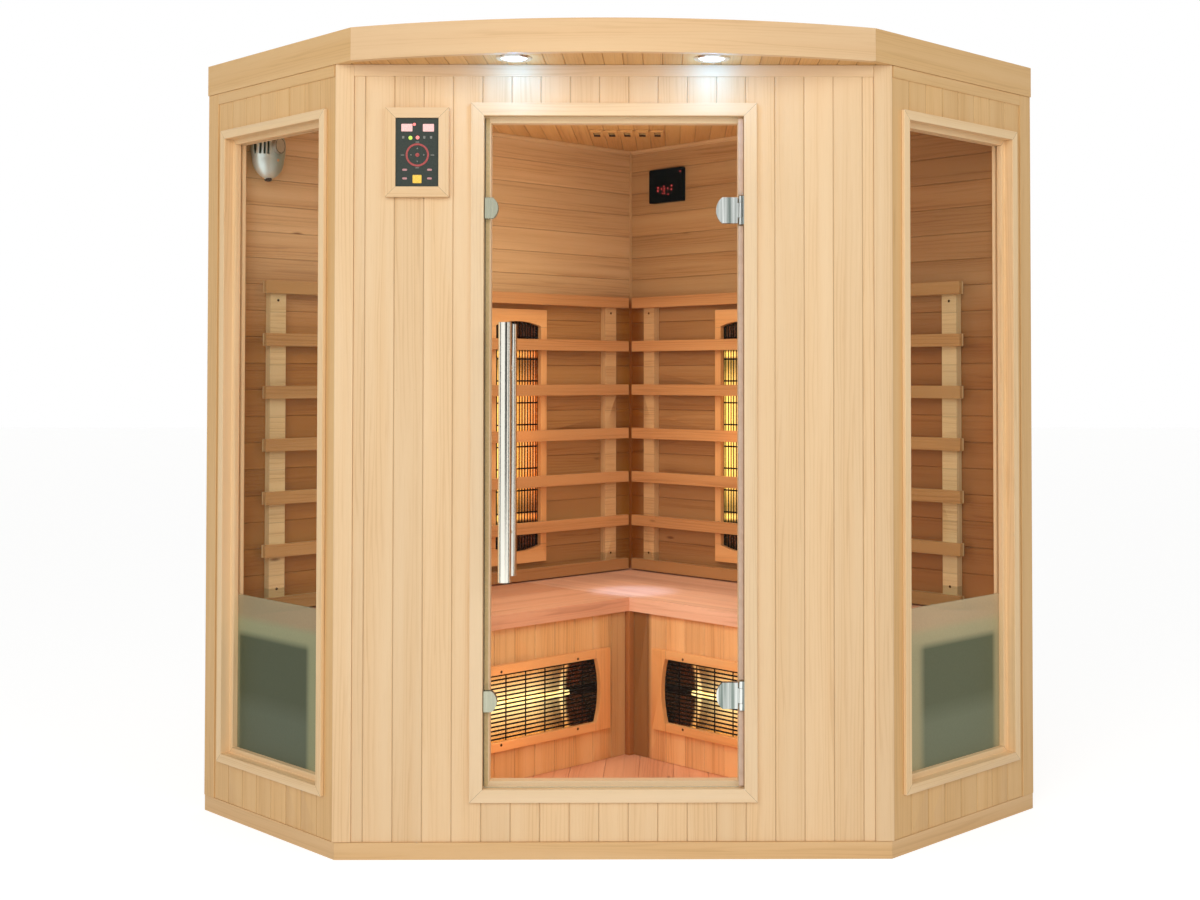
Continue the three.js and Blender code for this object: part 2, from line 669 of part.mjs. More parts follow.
function ceilingLamp() {
  const bowl = Array.from({ length: CURVE_STEPS + 1 }, (_, i) => {
    const angle = (Math.PI / 2) * (i / CURVE_STEPS);
    const radius = (LAMP_RADIUS - LAMP_RIM) * Math.sin(angle);
    return [radius, WALL_TOP - LAMP_RIM - (LAMP_DROP - LAMP_RIM) * Math.cos(angle)];
  });
  return turned([
    ...bowl,
    [LAMP_RADIUS, WALL_TOP - LAMP_RIM],
    [LAMP_RADIUS, WALL_TOP - FIT],
    [0, WALL_TOP - FIT],
  ], ROUND_SIDES);
}
add(cabin, 'ceiling_lamp', ceilingLamp(), lampWhite).position.y = LAMP_Y;

// Bench: the right seat runs through to the corner, and the left seat meets its front edge
function seat(from, depth) {
  return box(from, BACK_LENGTH - FIT, FIT, depth, SEAT_UNDERSIDE, SEAT_TOP);
}
add(sides.left.backBay, 'left_seat', seat(SEAT_DEPTHS.right + FIT, SEAT_DEPTHS.left), warmWood);
add(sides.right.backBay, 'right_seat', seat(FIT, SEAT_DEPTHS.right), warmWood);

// Along each bench front, its heater starts at an inset from the face of the other bench
const calfMiddle = (name) => BENCH_FACES[OTHER[name]] + CALF_HEATER_INSETS[name] + HEATER_FRAME_LENGTH / 2;

function benchFront(name) {
  const face = BENCH_FACES[name];
  const near = BENCH_FACES[OTHER[name]] + FIT;
  const panel = prism([
    ...boardFace(near, BACK_LENGTH - FIT, face, -1, BENCH_BOARD),
    [BACK_LENGTH - FIT, face - BENCH_FRONT_THICKNESS],
    [near - BENCH_FRONT_THICKNESS, face - BENCH_FRONT_THICKNESS],
  ], FLOOR_TOP + FIT, SEAT_UNDERSIDE - FIT);
  return cut(panel, box(
    calfMiddle(name) - HEATER_HOLE_LENGTH / 2,
    calfMiddle(name) + HEATER_HOLE_LENGTH / 2,
    0,
    2 * face,
    CALF_HEATER_Z - HEATER_HOLE_WIDTH / 2,
    CALF_HEATER_Z + HEATER_HOLE_WIDTH / 2,
  ));
}

// A square batten stands in the bench's inner corner
const stripX = BENCH_FACES.right + 2 * FIT;
const stripY = BENCH_FACES.left + 2 * FIT;
add(sides.left.backBay, 'bench_corner_strip', box(
  stripX,
  stripX + CORNER_STRIP,
  stripY,
  stripY + CORNER_STRIP,
  FLOOR_TOP + FIT,
  SEAT_UNDERSIDE - FIT,
), warmWood);

function backrest(slatEnd) {
  const slatBack = BACKREST_DEPTH - SLAT_THICKNESS;
  const slats = Array.from({ length: SLAT_COUNT }, (_, i) => {
    const z = SLAT_FIRST + i * SLAT_PITCH;
    return box(SLAT_FROM, slatEnd, slatBack, BACKREST_DEPTH, z - SLAT_HEIGHT / 2, z + SLAT_HEIGHT / 2);
  });
  const top = SLAT_FIRST + (SLAT_COUNT - 1) * SLAT_PITCH + SLAT_HEIGHT / 2 - SLAT_HOUSING;
  const starts = [SLAT_FROM + UPRIGHT_CORNER_INSET, slatEnd - UPRIGHT_END_INSET - UPRIGHT_WIDTH];
  const uprights = starts.map((from) => (
    box(from, from + UPRIGHT_WIDTH, FIT, slatBack + SLAT_HOUSING, SEAT_TOP + FIT, top)
  ));
  return join(...uprights, ...slats);
}

for (const [name, { backBay }] of Object.entries(sides)) {
  add(backBay, `${name}_bench_front`, benchFront(name), warmWood);
  add(backBay, `${name}_backrest`, backrest(SLAT_ENDS[name]), warmWood);
}

// Heater unit: X along its length, Y out of the panel that carries it, Z across
function archedShape(length, width, rise) {
  const straight = length / 2 - rise;
  const radius = ((width / 2) ** 2 + rise ** 2) / (2 * rise);
  const turn = Math.asin(width / 2 / radius);
  const centre = length / 2 - radius;
  const shape = new THREE.Shape();
  shape.moveTo(-straight, -width / 2);
  shape.lineTo(straight, -width / 2);
  shape.absarc(centre, 0, radius, -turn, turn, false);
  shape.lineTo(-straight, width / 2);
  shape.absarc(-centre, 0, radius, Math.PI - turn, Math.PI + turn, false);
  return shape;
}

function heaterFrame() {
  const [length, width] = [HEATER_FRAME_LENGTH / 2, HEATER_FRAME_WIDTH / 2];
  const shape = shapeOf([[-length, -width], [length, -width], [length, width], [-length, width]]);
  const opening = archedShape(HEATER_OPENING_LENGTH, HEATER_OPENING_WIDTH, HEATER_ARCH);
  shape.holes.push(new THREE.Path(opening.getPoints(OPENING_STEPS)));
  return alongY(shape, FIT, HEATER_FRAME_PROUD);
}

// A rim carries the long wires in front and the cross wires behind them
function heaterGrille() {
  const clear = HEATER_MARGIN - FIT;
  const outer = archedShape(
    HEATER_OPENING_LENGTH + 2 * clear,
    HEATER_OPENING_WIDTH + 2 * clear,
    HEATER_ARCH,
  );
  const insideLength = HEATER_OPENING_LENGTH + 2 * (clear - GRILLE_RIM);
  const insideWidth = HEATER_OPENING_WIDTH + 2 * (clear - GRILLE_RIM);
  const inner = archedShape(insideLength, insideWidth, HEATER_ARCH);
  outer.holes.push(new THREE.Path(inner.getPoints(CURVE_STEPS)));
  const rim = alongY(outer, -GRILLE_DEPTH, 0);
  const frontY = -FIT - GRILLE_WIRE / 2;
  const backY = -GRILLE_DEPTH + GRILLE_WIRE / 2 - FIT;
  const reach = GRILLE_RIM / 2;
  const wires = [];
  for (let i = 0; i < GRILLE_WIRES; i += 1) {
    const z = HEATER_OPENING_WIDTH * ((i + 0.5) / GRILLE_WIRES - 0.5);
    const radius = ((insideWidth / 2) ** 2 + HEATER_ARCH ** 2) / (2 * HEATER_ARCH);
    const half = insideLength / 2 - radius + Math.sqrt(radius ** 2 - z ** 2) + reach;
    const wire = rod(GRILLE_WIRE / 2, 2 * half, WIRE_SIDES).rotateZ(Math.PI / 2);
    wires.push(wire.translate(0, frontY, z));
  }
  for (let i = 0; i < GRILLE_CROSS_WIRES; i += 1) {
    const x = (HEATER_OPENING_LENGTH - 2 * HEATER_ARCH) * ((i + 0.5) / GRILLE_CROSS_WIRES - 0.5);
    const wire = rod(GRILLE_WIRE / 2, insideWidth + 2 * reach, WIRE_SIDES).rotateX(Math.PI / 2);
    wires.push(wire.translate(x, backY, 0));
  }
  return join(rim, ...wires);
}

// A polished trough, closed at its ends, behind the grille
function troughShape(sag, width) {
  const radius = ((width / 2) ** 2 + sag ** 2) / (2 * sag);
  const turn = Math.asin(width / 2 / radius);
  const shape = new THREE.Shape();
  shape.absarc(0, radius - sag, radius, -Math.PI / 2 - turn, -Math.PI / 2 + turn, false);
  return shape;
}

function heaterReflector() {
  const mouth = -GRILLE_DEPTH - FIT;
  const length = HEATER_HOLE_LENGTH / 2 - FIT;
  const width = HEATER_HOLE_WIDTH - 2 * FIT;
  const outside = troughShape(REFLECTOR_DEPTH, width);
  const inside = troughShape(REFLECTOR_DEPTH - REFLECTOR_SHEET, width - 4 * REFLECTOR_SHEET);
  // The profile lies in Y-Z, so it is turned from its drawing plane before it runs along X
  const lay = (shape, half, lift) => {
    const points = shape.getPoints(TROUGH_STEPS).map(({ x, y }) => [y + lift, x]);
    return alongX(shapeOf(points), -half, half);
  };
  const hollow = lay(inside, length - REFLECTOR_SHEET, mouth);
  const mouthCut = box(
    -length + REFLECTOR_SHEET,
    length - REFLECTOR_SHEET,
    mouth - FIT,
    mouth + FIT,
    -width / 2 + 2 * REFLECTOR_SHEET,
    width / 2 - 2 * REFLECTOR_SHEET,
  );
  return cut(lay(outside, length, mouth), hollow, mouthCut);
}

// A quartz tube between two ceramic caps, which stand against the trough's ends
function heaterTube() {
  const half = HEATER_HOLE_LENGTH / 2 - REFLECTOR_SHEET - 3 * FIT;
  const neck = half - TUBE_CAP_LENGTH;
  const profile = [
    [0, -half],
    [TUBE_CAP_RADIUS, -half],
    [TUBE_CAP_RADIUS, -neck],
    [TUBE_RADIUS, -neck],
    [TUBE_RADIUS, neck],
    [TUBE_CAP_RADIUS, neck],
    [TUBE_CAP_RADIUS, half],
    [0, half],
  ];
  const depth = -GRILLE_DEPTH - TUBE_DEPTH;
  return turned(profile, TUBE_SIDES).rotateY(Math.PI / 2).translate(0, depth, 0);
}

function heater(bay, name, x, y, z, upright) {
  const unit = new THREE.Group();
  unit.position.set(x, y, z);
  unit.rotation.y = upright ? Math.PI / 2 : 0;
  bay.add(unit);
  add(unit, `${name}_heater_frame`, heaterFrame(), warmWood);
  add(unit, `${name}_heater_grille`, heaterGrille(), blackWire);
  add(unit, `${name}_heater_reflector`, heaterReflector(), reflectorMetal);
  add(unit, `${name}_heater_tube`, heaterTube(), quartz);
}

for (const [name, { backBay }] of Object.entries(sides)) {
  heater(backBay, `${name}_back`, BACK_HEATER_PLACES[name], 0, BACK_HEATER_Z, true);
  heater(backBay, `${name}_calf`, calfMiddle(name), BENCH_FACES[name], CALF_HEATER_Z, false);
}

// Door glass, drilled for the handle
const handlePosts = [HANDLE_BOTTOM + HANDLE_POST_INSET, HANDLE_TOP - HANDLE_POST_INSET];
const outerBarY = GLASS_RECESS - HANDLE_STANDOFF;
const innerBarY = GLASS_BACK + HANDLE_STANDOFF;
const glassMiddleY = (GLASS_RECESS + GLASS_BACK) / 2;
const handleHoles = handlePosts.map((z) => (
  rod(HANDLE_POST_RADIUS + 2 * FIT, 4 * GLASS_THICKNESS).translate(HANDLE_X, glassMiddleY, z)
));
add(cabin, 'door_glass', cut(
  box(GLASS_LEFT, GLASS_RIGHT, GLASS_RECESS, GLASS_BACK, DOOR_BOTTOM + GLASS_GAP, DOOR_TOP - GLASS_GAP),
  ...handleHoles,
), glass);

// Handle: two tubes back to back on posts that pass through the glass
const handleMiddleZ = (HANDLE_BOTTOM + HANDLE_TOP) / 2;
const handleBars = [outerBarY, innerBarY].map((y) => (
  uprightRod(HANDLE_RADIUS, HANDLE_TOP - HANDLE_BOTTOM, ROUND_SIDES).translate(HANDLE_X, y, handleMiddleZ)
));
const handleBolts = handlePosts.map((z) => (
  rod(HANDLE_POST_RADIUS, innerBarY - outerBarY, POST_SIDES).translate(HANDLE_X, glassMiddleY, z)
));
add(cabin, 'door_handle', join(...handleBars, ...handleBolts), steel);

// A plate with one bowed end: the straight edge at x0, the bow on the side of x1
function bowedPlate(x0, x1, bulge, height, y0, y1) {
  const half = height / 2;
  const out = Math.sign(x1 - x0);
  const radius = (half ** 2 + bulge ** 2) / (2 * bulge);
  const turn = Math.asin(half / radius);
  const arc = Array.from({ length: BOW_STEPS + 1 }, (_, i) => {
    const angle = turn * ((2 * i) / BOW_STEPS - 1);
    return [x1 - out * (radius - radius * Math.cos(angle)), radius * Math.sin(angle)];
  });
  return alongY(shapeOf([[x0, -half], ...arc, [x0, half]]), y0, y1);
}

// Hinge clamp on the glass, with the middle knuckle
function hingeClamp() {
  const edge = GLASS_RIGHT - HINGE_PLATE_INSET;
  const tip = edge - HINGE_PLATE_WIDTH;
  const frontFace = GLASS_RECESS - FIT;
  const backFace = GLASS_BACK + FIT;
  const half = DOOR_KNUCKLE_HEIGHT / 2;
  const plate = (y0, y1) => bowedPlate(edge, tip, HINGE_PLATE_BULGE, HINGE_PLATE_HEIGHT, y0, y1);
  const outerPlate = plate(frontFace - HARDWARE_THICKNESS, frontFace);
  const innerPlate = plate(backFace, backFace + HARDWARE_THICKNESS);
  const spineX = GLASS_RIGHT + FIT;
  const spine = box(spineX, spineX + LEAF_THICKNESS, frontFace - HARDWARE_THICKNESS / 2,
    backFace + HARDWARE_THICKNESS, -half, half);
  const bridges = [
    box(edge - FIT, spineX + FIT, backFace, backFace + HARDWARE_THICKNESS, -half, half),
    box(edge - FIT, spineX + FIT, frontFace - HARDWARE_THICKNESS, frontFace, -half, half),
  ];
  const knuckle = uprightRod(BARREL_RADIUS, DOOR_KNUCKLE_HEIGHT).translate(HINGE_X, HINGE_Y, 0);
  const bore = uprightRod(PIN_RADIUS + 2 * FIT, BARREL_HEIGHT).translate(HINGE_X, HINGE_Y, 0);
  return cut(join(outerPlate, innerPlate, spine, ...bridges, knuckle), bore);
}

// Hinge leaf on the jamb, with the outer knuckles and the pin
function hingeLeaf() {
  const half = BARREL_HEIGHT / 2;
  const gap = DOOR_KNUCKLE_HEIGHT / 2 + 2 * FIT;
  const jamb = DOOR_WIDTH / 2 - FIT;
  const leaf = box(jamb - LEAF_THICKNESS, jamb, HINGE_Y - BARREL_RADIUS, GLASS_BACK, -half, half);
  const relief = uprightRod(BARREL_RADIUS + 2 * FIT, 2 * gap).translate(HINGE_X, HINGE_Y, 0);
  const knuckles = [-1, 1].map((end) => (
    uprightRod(BARREL_RADIUS, half - gap).translate(HINGE_X, HINGE_Y, (end * (half + gap)) / 2)
  ));
  const webs = [-1, 1].map((end) => box(HINGE_X, jamb - FIT, HINGE_Y, HINGE_Y + LEAF_THICKNESS,
    Math.min(end * gap, end * half), Math.max(end * gap, end * half)));
  const pin = uprightRod(PIN_RADIUS, BARREL_HEIGHT).translate(HINGE_X, HINGE_Y, 0);
  return join(cut(leaf, relief), ...knuckles, ...webs, pin);
}

// Catch plate: a clip over the free edge of the glass
function catchPlate() {
  const edge = GLASS_LEFT - FIT;
  const frontFace = GLASS_RECESS - FIT;
  const backFace = GLASS_BACK + FIT;
  const front = frontFace - HARDWARE_THICKNESS;
  const back = backFace + HARDWARE_THICKNESS;
  const tip = edge + CATCH_WIDTH;
  const block = bowedPlate(edge - LEAF_THICKNESS / 2, tip, CATCH_BULGE, CATCH_HEIGHT, front, back);
  const slot = box(edge, tip + CATCH_WIDTH, frontFace, backFace, -CATCH_HEIGHT, CATCH_HEIGHT);
  return cut(block, slot);
}

for (const [name, z] of Object.entries(HINGE_HEIGHTS)) {
  add(cabin, `${name}_hinge_clamp`, hingeClamp(), chrome).position.z = z;
  add(cabin, `${name}_hinge_leaf`, hingeLeaf(), chrome).position.z = z;
}
for (const [name, z] of Object.entries(CATCH_HEIGHTS)) {
  add(cabin, `${name}_catch_plate`, catchPlate(), chrome).position.z = z;
}

// Control panel in its timber frame on the front wall
function centredBox(width, height, y0, y1) {
  return box(-width / 2, width / 2, y0, y1, -height / 2, height / 2);
}
const panelWidth = CONTROL_WIDTH - 2 * CONTROL_BORDER;
const panelHeight = CONTROL_HEIGHT - 2 * CONTROL_BORDER;
add(cabin, 'control_frame', cut(
  centredBox(CONTROL_WIDTH, CONTROL_HEIGHT, -CONTROL_PROUD, -FIT),
  centredBox(panelWidth, panelHeight, -2 * CONTROL_PROUD, CONTROL_PROUD),
), paleWood).position.set(CONTROL_X, 0, CONTROL_Z);
add(cabin, 'control_panel', centredBox(
  panelWidth - 2 * FIT,
  panelHeight - 2 * FIT,
  -CONTROL_PANEL_THICKNESS,
  -FIT,
), blackPlastic).position.set(CONTROL_X, 0, CONTROL_Z);

// Media panel on the right back wall, a shallow box with rounded corners
function mediaPanel() {
  const [w, h, r] = [MEDIA_WIDTH / 2, MEDIA_HEIGHT / 2, MEDIA_CORNER];
  const shape = new THREE.Shape();
  shape.moveTo(-w + r, -h);
  shape.absarc(w - r, -h + r, r, -Math.PI / 2, 0, false);
  shape.absarc(w - r, h - r, r, 0, Math.PI / 2, false);
  shape.absarc(-w + r, h - r, r, Math.PI / 2, Math.PI, false);
  shape.absarc(-w + r, -h + r, r, Math.PI, 1.5 * Math.PI, false);
  return alongY(new THREE.Shape(shape.getPoints(CORNER_STEPS).slice(1)), FIT, MEDIA_PROUD);
}
add(sides.right.backBay, 'media_panel', mediaPanel(), blackPlastic).position.set(
  MEDIA_FROM + MEDIA_WIDTH / 2,
  0,
  MEDIA_BOTTOM + MEDIA_HEIGHT / 2,
);

// Ionizer on the left back wall: an egg that narrows to a short tip, slotted on one side
const buttonAxis = new THREE.Vector3(-Math.sin(BUTTON_TURN), Math.cos(BUTTON_TURN), 0);
const ionizerMiddleY = IONIZER_DEPTH / 2;
const buttonZ = IONIZER_BOTTOM + BUTTON_RISE;
const buttonSeat = new THREE.Vector3(0, ionizerMiddleY, buttonZ)
  .addScaledVector(buttonAxis, IONIZER_DEPTH / 2);

function buttonRod(radius, length, outerEnd) {
  const centre = buttonSeat.clone().addScaledVector(buttonAxis, outerEnd - length / 2);
  return rod(radius, length, ROUND_SIDES).rotateZ(BUTTON_TURN).translate(centre.x, centre.y, centre.z);
}

function ionizerBody() {
  const bellyZ = IONIZER_BOTTOM + IONIZER_TIP + IONIZER_BELLY;
  const profile = Array.from({ length: IONIZER_STEPS }, (_, i) => {
    const angle = Math.PI * ((i + 1) / (IONIZER_STEPS + 1));
    const rise = -Math.cos(angle);
    return [IONIZER_RADIUS * Math.sin(angle), bellyZ + rise * (rise < 0 ? IONIZER_BELLY : IONIZER_CROWN)];
  });
  const egg = turned([
    [0, IONIZER_BOTTOM],
    [IONIZER_TIP, IONIZER_BOTTOM],
    ...profile,
    [0, bellyZ + IONIZER_CROWN],
  ], ROUND_SIDES);
  egg.scale(1, IONIZER_DEPTH / 2 / IONIZER_RADIUS, 1).translate(0, ionizerMiddleY, 0);
  const flatBack = box(-WALL_SIDE, WALL_SIDE, -WALL_SIDE, 4 * FIT, 0, ROOF_TOP);
  const pad = box(-IONIZER_RADIUS / 2, IONIZER_RADIUS / 2, FIT, ionizerMiddleY,
    buttonZ - IONIZER_RADIUS / 2, buttonZ + IONIZER_RADIUS / 2);
  const socketFloor = BUTTON_PROUD - BUTTON_LENGTH - BUTTON_TRAVEL_SPACE;
  const socket = buttonRod(BUTTON_RADIUS + 2 * FIT, IONIZER_DEPTH, IONIZER_DEPTH + socketFloor);
  const slots = Array.from({ length: IONIZER_SLOTS }, (_, i) => {
    const x = IONIZER_SLOT_FROM + i * IONIZER_SLOT_PITCH;
    return box(x, x + IONIZER_SLOT_WIDTH, IONIZER_SLOT_FLOOR, 2 * IONIZER_DEPTH,
      buttonZ - IONIZER_SLOT_BELOW, buttonZ + IONIZER_SLOT_ABOVE);
  });
  return cut(join(cut(egg, flatBack), pad), socket, ...slots);
}
add(sides.left.backBay, 'ionizer_body', ionizerBody(), silverPlastic).position.x = IONIZER_T;
const buttonGeometry = buttonRod(BUTTON_RADIUS, BUTTON_LENGTH, BUTTON_PROUD);
add(sides.left.backBay, 'ionizer_button', buttonGeometry, silverPlastic).position.x = IONIZER_T;

export default part;
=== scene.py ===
"""Looks of a corner infrared sauna cabin: timber, glass, heaters, fittings, light and camera.

Metres, +Z up, the door faces -Y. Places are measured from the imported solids.
"""
import json
import math

import bmesh
import bpy
from mathutils import Matrix, Vector
from mathutils.bvhtree import BVHTree


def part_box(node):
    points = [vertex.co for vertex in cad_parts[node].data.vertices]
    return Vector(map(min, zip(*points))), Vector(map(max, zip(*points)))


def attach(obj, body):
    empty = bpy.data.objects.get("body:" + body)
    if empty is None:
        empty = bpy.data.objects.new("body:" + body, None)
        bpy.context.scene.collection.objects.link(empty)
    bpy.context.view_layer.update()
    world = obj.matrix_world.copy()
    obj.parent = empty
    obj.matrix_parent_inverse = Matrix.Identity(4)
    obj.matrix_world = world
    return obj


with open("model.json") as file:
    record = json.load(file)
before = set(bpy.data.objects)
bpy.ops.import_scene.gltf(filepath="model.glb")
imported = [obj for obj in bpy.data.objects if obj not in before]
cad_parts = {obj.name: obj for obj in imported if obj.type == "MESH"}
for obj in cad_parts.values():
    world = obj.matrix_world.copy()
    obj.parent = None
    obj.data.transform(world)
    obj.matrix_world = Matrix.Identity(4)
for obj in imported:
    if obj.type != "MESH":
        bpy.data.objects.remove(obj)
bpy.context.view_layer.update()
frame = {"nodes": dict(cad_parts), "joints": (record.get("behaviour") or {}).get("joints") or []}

# Directions of the cabin's plan: the back walls and the window walls stand at 45 degrees
X, Y, Z = Vector((1, 0, 0)), Vector((0, 1, 0)), Vector((0, 0, 1))
EAST, WEST = (X - Y).normalized(), (-X - Y).normalized()
RING_LEAN = Vector((1.0, 0.0, 0.7))
LEFT, RIGHT = "left", "right"
SIGN = {LEFT: -1, RIGHT: 1}
# Along each back wall from the inner corner, and from that wall into the room
ALONG = {LEFT: WEST, RIGHT: EAST}
INWARD = {LEFT: EAST, RIGHT: WEST}
# Along each window wall from its front corner
WINDOW_ALONG = {LEFT: -EAST, RIGHT: -WEST}

# Sizes of the boards and joints that the finishes follow
BOARD = 0.0675
BENCH_BOARD = 0.070
FLOOR_BOARD = 0.092
CEILING_BOARD = 0.045
SEAT_BOARD = 0.097
STILE = 0.026
RAIL_HEIGHT = 0.027
PLINTH_PROUD = 0.0028
SLAT_BACK = 0.020
UPRIGHT_PROUD = 0.0055
SLAT_PITCH, SLAT_START = 0.1368, 0.45
REST_PITCH = 0.2
HEATER_END = 0.053
JOINT_LINE = 0.0005
JOINT_SHADE = 0.0016
SASH_STEP = 0.013
SOFT_EDGE = 0.0009
METAL_EDGE = 0.0006
WELD = 0.00002
SMOOTH_ANGLE = math.radians(38)

# Camera of the photograph, for a picture of 1200 x 900
PICTURE_WIDTH, PICTURE_HEIGHT = 1200, 900
FOCAL_PX, CENTRE_PX = 1566.6, (685.0, 340.9)
CAMERA_PLACE = Vector((0.1374, -4.2734, 1.1013))
CAMERA_YAW, CAMERA_PITCH = 0.0073, 0.0232
SENSOR = 36.0


def linear(red, green, blue):
    """A display colour from 0 to 255 as a linear colour."""
    shares = [c / 255 for c in (red, green, blue)]
    return tuple(c / 12.92 if c <= 0.04045 else ((c + 0.055) / 1.055) ** 2.4 for c in shares) + (1.0,)


def tones(*colours):
    return [linear(*colour) for colour in colours]


# Node materials
class Graph:
    """A material's node tree, with short calls for the nodes that the finishes use."""

    def __init__(self, name, roughness=0.5, metallic=0.0):
        self.material = bpy.data.materials.new(name)
        self.material.use_nodes = True
        self.tree = self.material.node_tree
        self.shader = self.tree.nodes["Principled BSDF"]
        self.set("Roughness", roughness)
        self.set("Metallic", metallic)
        self.place = self.new("ShaderNodeTexCoord").outputs["Object"]

    def new(self, kind, inputs=None, **settings):
        node = self.tree.nodes.new(kind)
        for key, value in settings.items():
            setattr(node, key, value)
        for key, value in (inputs or {}).items():
            self.feed(value, node.inputs[key])
        return node

    def feed(self, value, socket):
        if isinstance(value, bpy.types.NodeSocket):
            self.tree.links.new(value, socket)
        else:
            socket.default_value = value

    def set(self, socket, value):
        self.feed(value, self.shader.inputs[socket])

    def math(self, operation, a, b=0.0):
        return self.new("ShaderNodeMath", {0: a, 1: b}, operation=operation).outputs[0]

    def dot(self, vector, direction):
        node = self.new("ShaderNodeVectorMath", {0: vector, 1: direction}, operation="DOT_PRODUCT")
        return node.outputs["Value"]

    def scaled(self, vector, factors):
        return self.new("ShaderNodeVectorMath", {0: vector, 1: factors}, operation="MULTIPLY").outputs[0]

    def noise(self, vector, scale=1.0, detail=3.0):
        node = self.new("ShaderNodeTexNoise", {"Vector": vector, "Scale": scale, "Detail": detail})
        return node.outputs["Fac"]

    def spread(self, value, low, high, to_low=0.0, to_high=1.0):
        inputs = {"Value": value, 1: low, 2: high, 3: to_low, 4: to_high}
        return self.new("ShaderNodeMapRange", inputs).outputs["Result"]

    def mix(self, kind, factor, a, b, **settings):
        node = self.new("ShaderNodeMix", data_type=kind, **settings)
        sockets = [s for s in node.inputs if s.type == kind]
        self.feed(factor, node.inputs["Factor"])
        self.feed(a, sockets[-2])
        self.feed(b, sockets[-1])
        return next(s for s in node.outputs if s.type == kind)

    def blend(self, factor, a, b, kind="MIX"):
        return self.mix("RGBA", factor, a, b, blend_type=kind)

    def choose(self, factor, a, b):
        return self.mix("VECTOR", factor, a, b)

    def bump(self, height, distance, strength=1.0):
        inputs = {"Height": height, "Distance": distance, "Strength": strength}
        self.set("Normal", self.new("ShaderNodeBump", inputs).outputs["Normal"])


# Timber: pale outside, warmer inside, where the tones also paint the warm, dimmer light of the cabin on the
# same timber; each with the tones of its early, middle and late wood
PALE = tones((238, 206, 163), (232, 195, 147), (196, 149, 98))
CASING = tones((240, 212, 173), (234, 202, 158), (200, 155, 106))
FASCIA = tones((230, 195, 150), (224, 185, 138), (188, 142, 92))
FOOT = tones((226, 188, 138), (218, 177, 123), (184, 137, 84))
SASH = tones((246, 214, 168), (241, 205, 154), (206, 158, 104))
TAN = tones((232, 191, 134), (225, 180, 119), (188, 138, 80))
WARM = tones((225, 188, 139), (211, 167, 116), (146, 97, 58))
UMBER = tones((201, 162, 113), (188, 143, 92), (128, 81, 45))
REST = tones((230, 208, 158), (221, 194, 141), (165, 122, 82))
COCOA = tones((172, 114, 62), (158, 100, 52), (110, 62, 30))
HONEY = tones((228, 181, 114), (216, 162, 96), (168, 112, 60))
ORANGE = tones((242, 184, 122), (230, 164, 98), (176, 110, 60))
APRICOT = tones((247, 200, 143), (238, 182, 122), (190, 126, 74))
OCHRE = tones((242, 198, 140), (230, 177, 113), (176, 116, 66))
SEAT = tones((237, 180, 143), (230, 166, 130), (178, 116, 84))
BLUSH = tones((251, 202, 170), (243, 187, 156), (196, 136, 104))
ROSE = tones((232, 174, 136), (218, 154, 116), (170, 108, 76))
KNOT = linear(112, 66, 36)


def boards(g, along, across, pitch=0.0, start=0.0, seed=0.0, flat=False):
    """Grain coordinates (across, along, through), moved at random on each board, with each board's tone and the
    open joints."""
    across_by, along_by = g.dot(g.place, across), g.dot(g.place, along)
    through_by = 0.0 if flat else g.dot(g.place, along.cross(across))
    board, clear = seed, 1.0
    if pitch:
        count = g.math("DIVIDE", g.math("SUBTRACT", across_by, start), pitch)
        board = g.math("ADD", g.math("FLOOR", count), seed)
        from_middle = g.math("ABSOLUTE", g.math("SUBTRACT", g.math("FRACT", count), 0.5))
        clear = g.spread(from_middle, 0.5 - JOINT_SHADE / pitch, 0.5 - JOINT_LINE / pitch, 1.0, 0.74)
    chance = g.new("ShaderNodeTexWhiteNoise", {"W": board}, noise_dimensions="1D").outputs["Value"]
    moved = g.math("ADD", along_by, g.math("MULTIPLY", chance, 30.0))
    place = g.new("ShaderNodeCombineXYZ", {"X": across_by, "Y": moved, "Z": through_by})
    return place.outputs[0], chance, clear


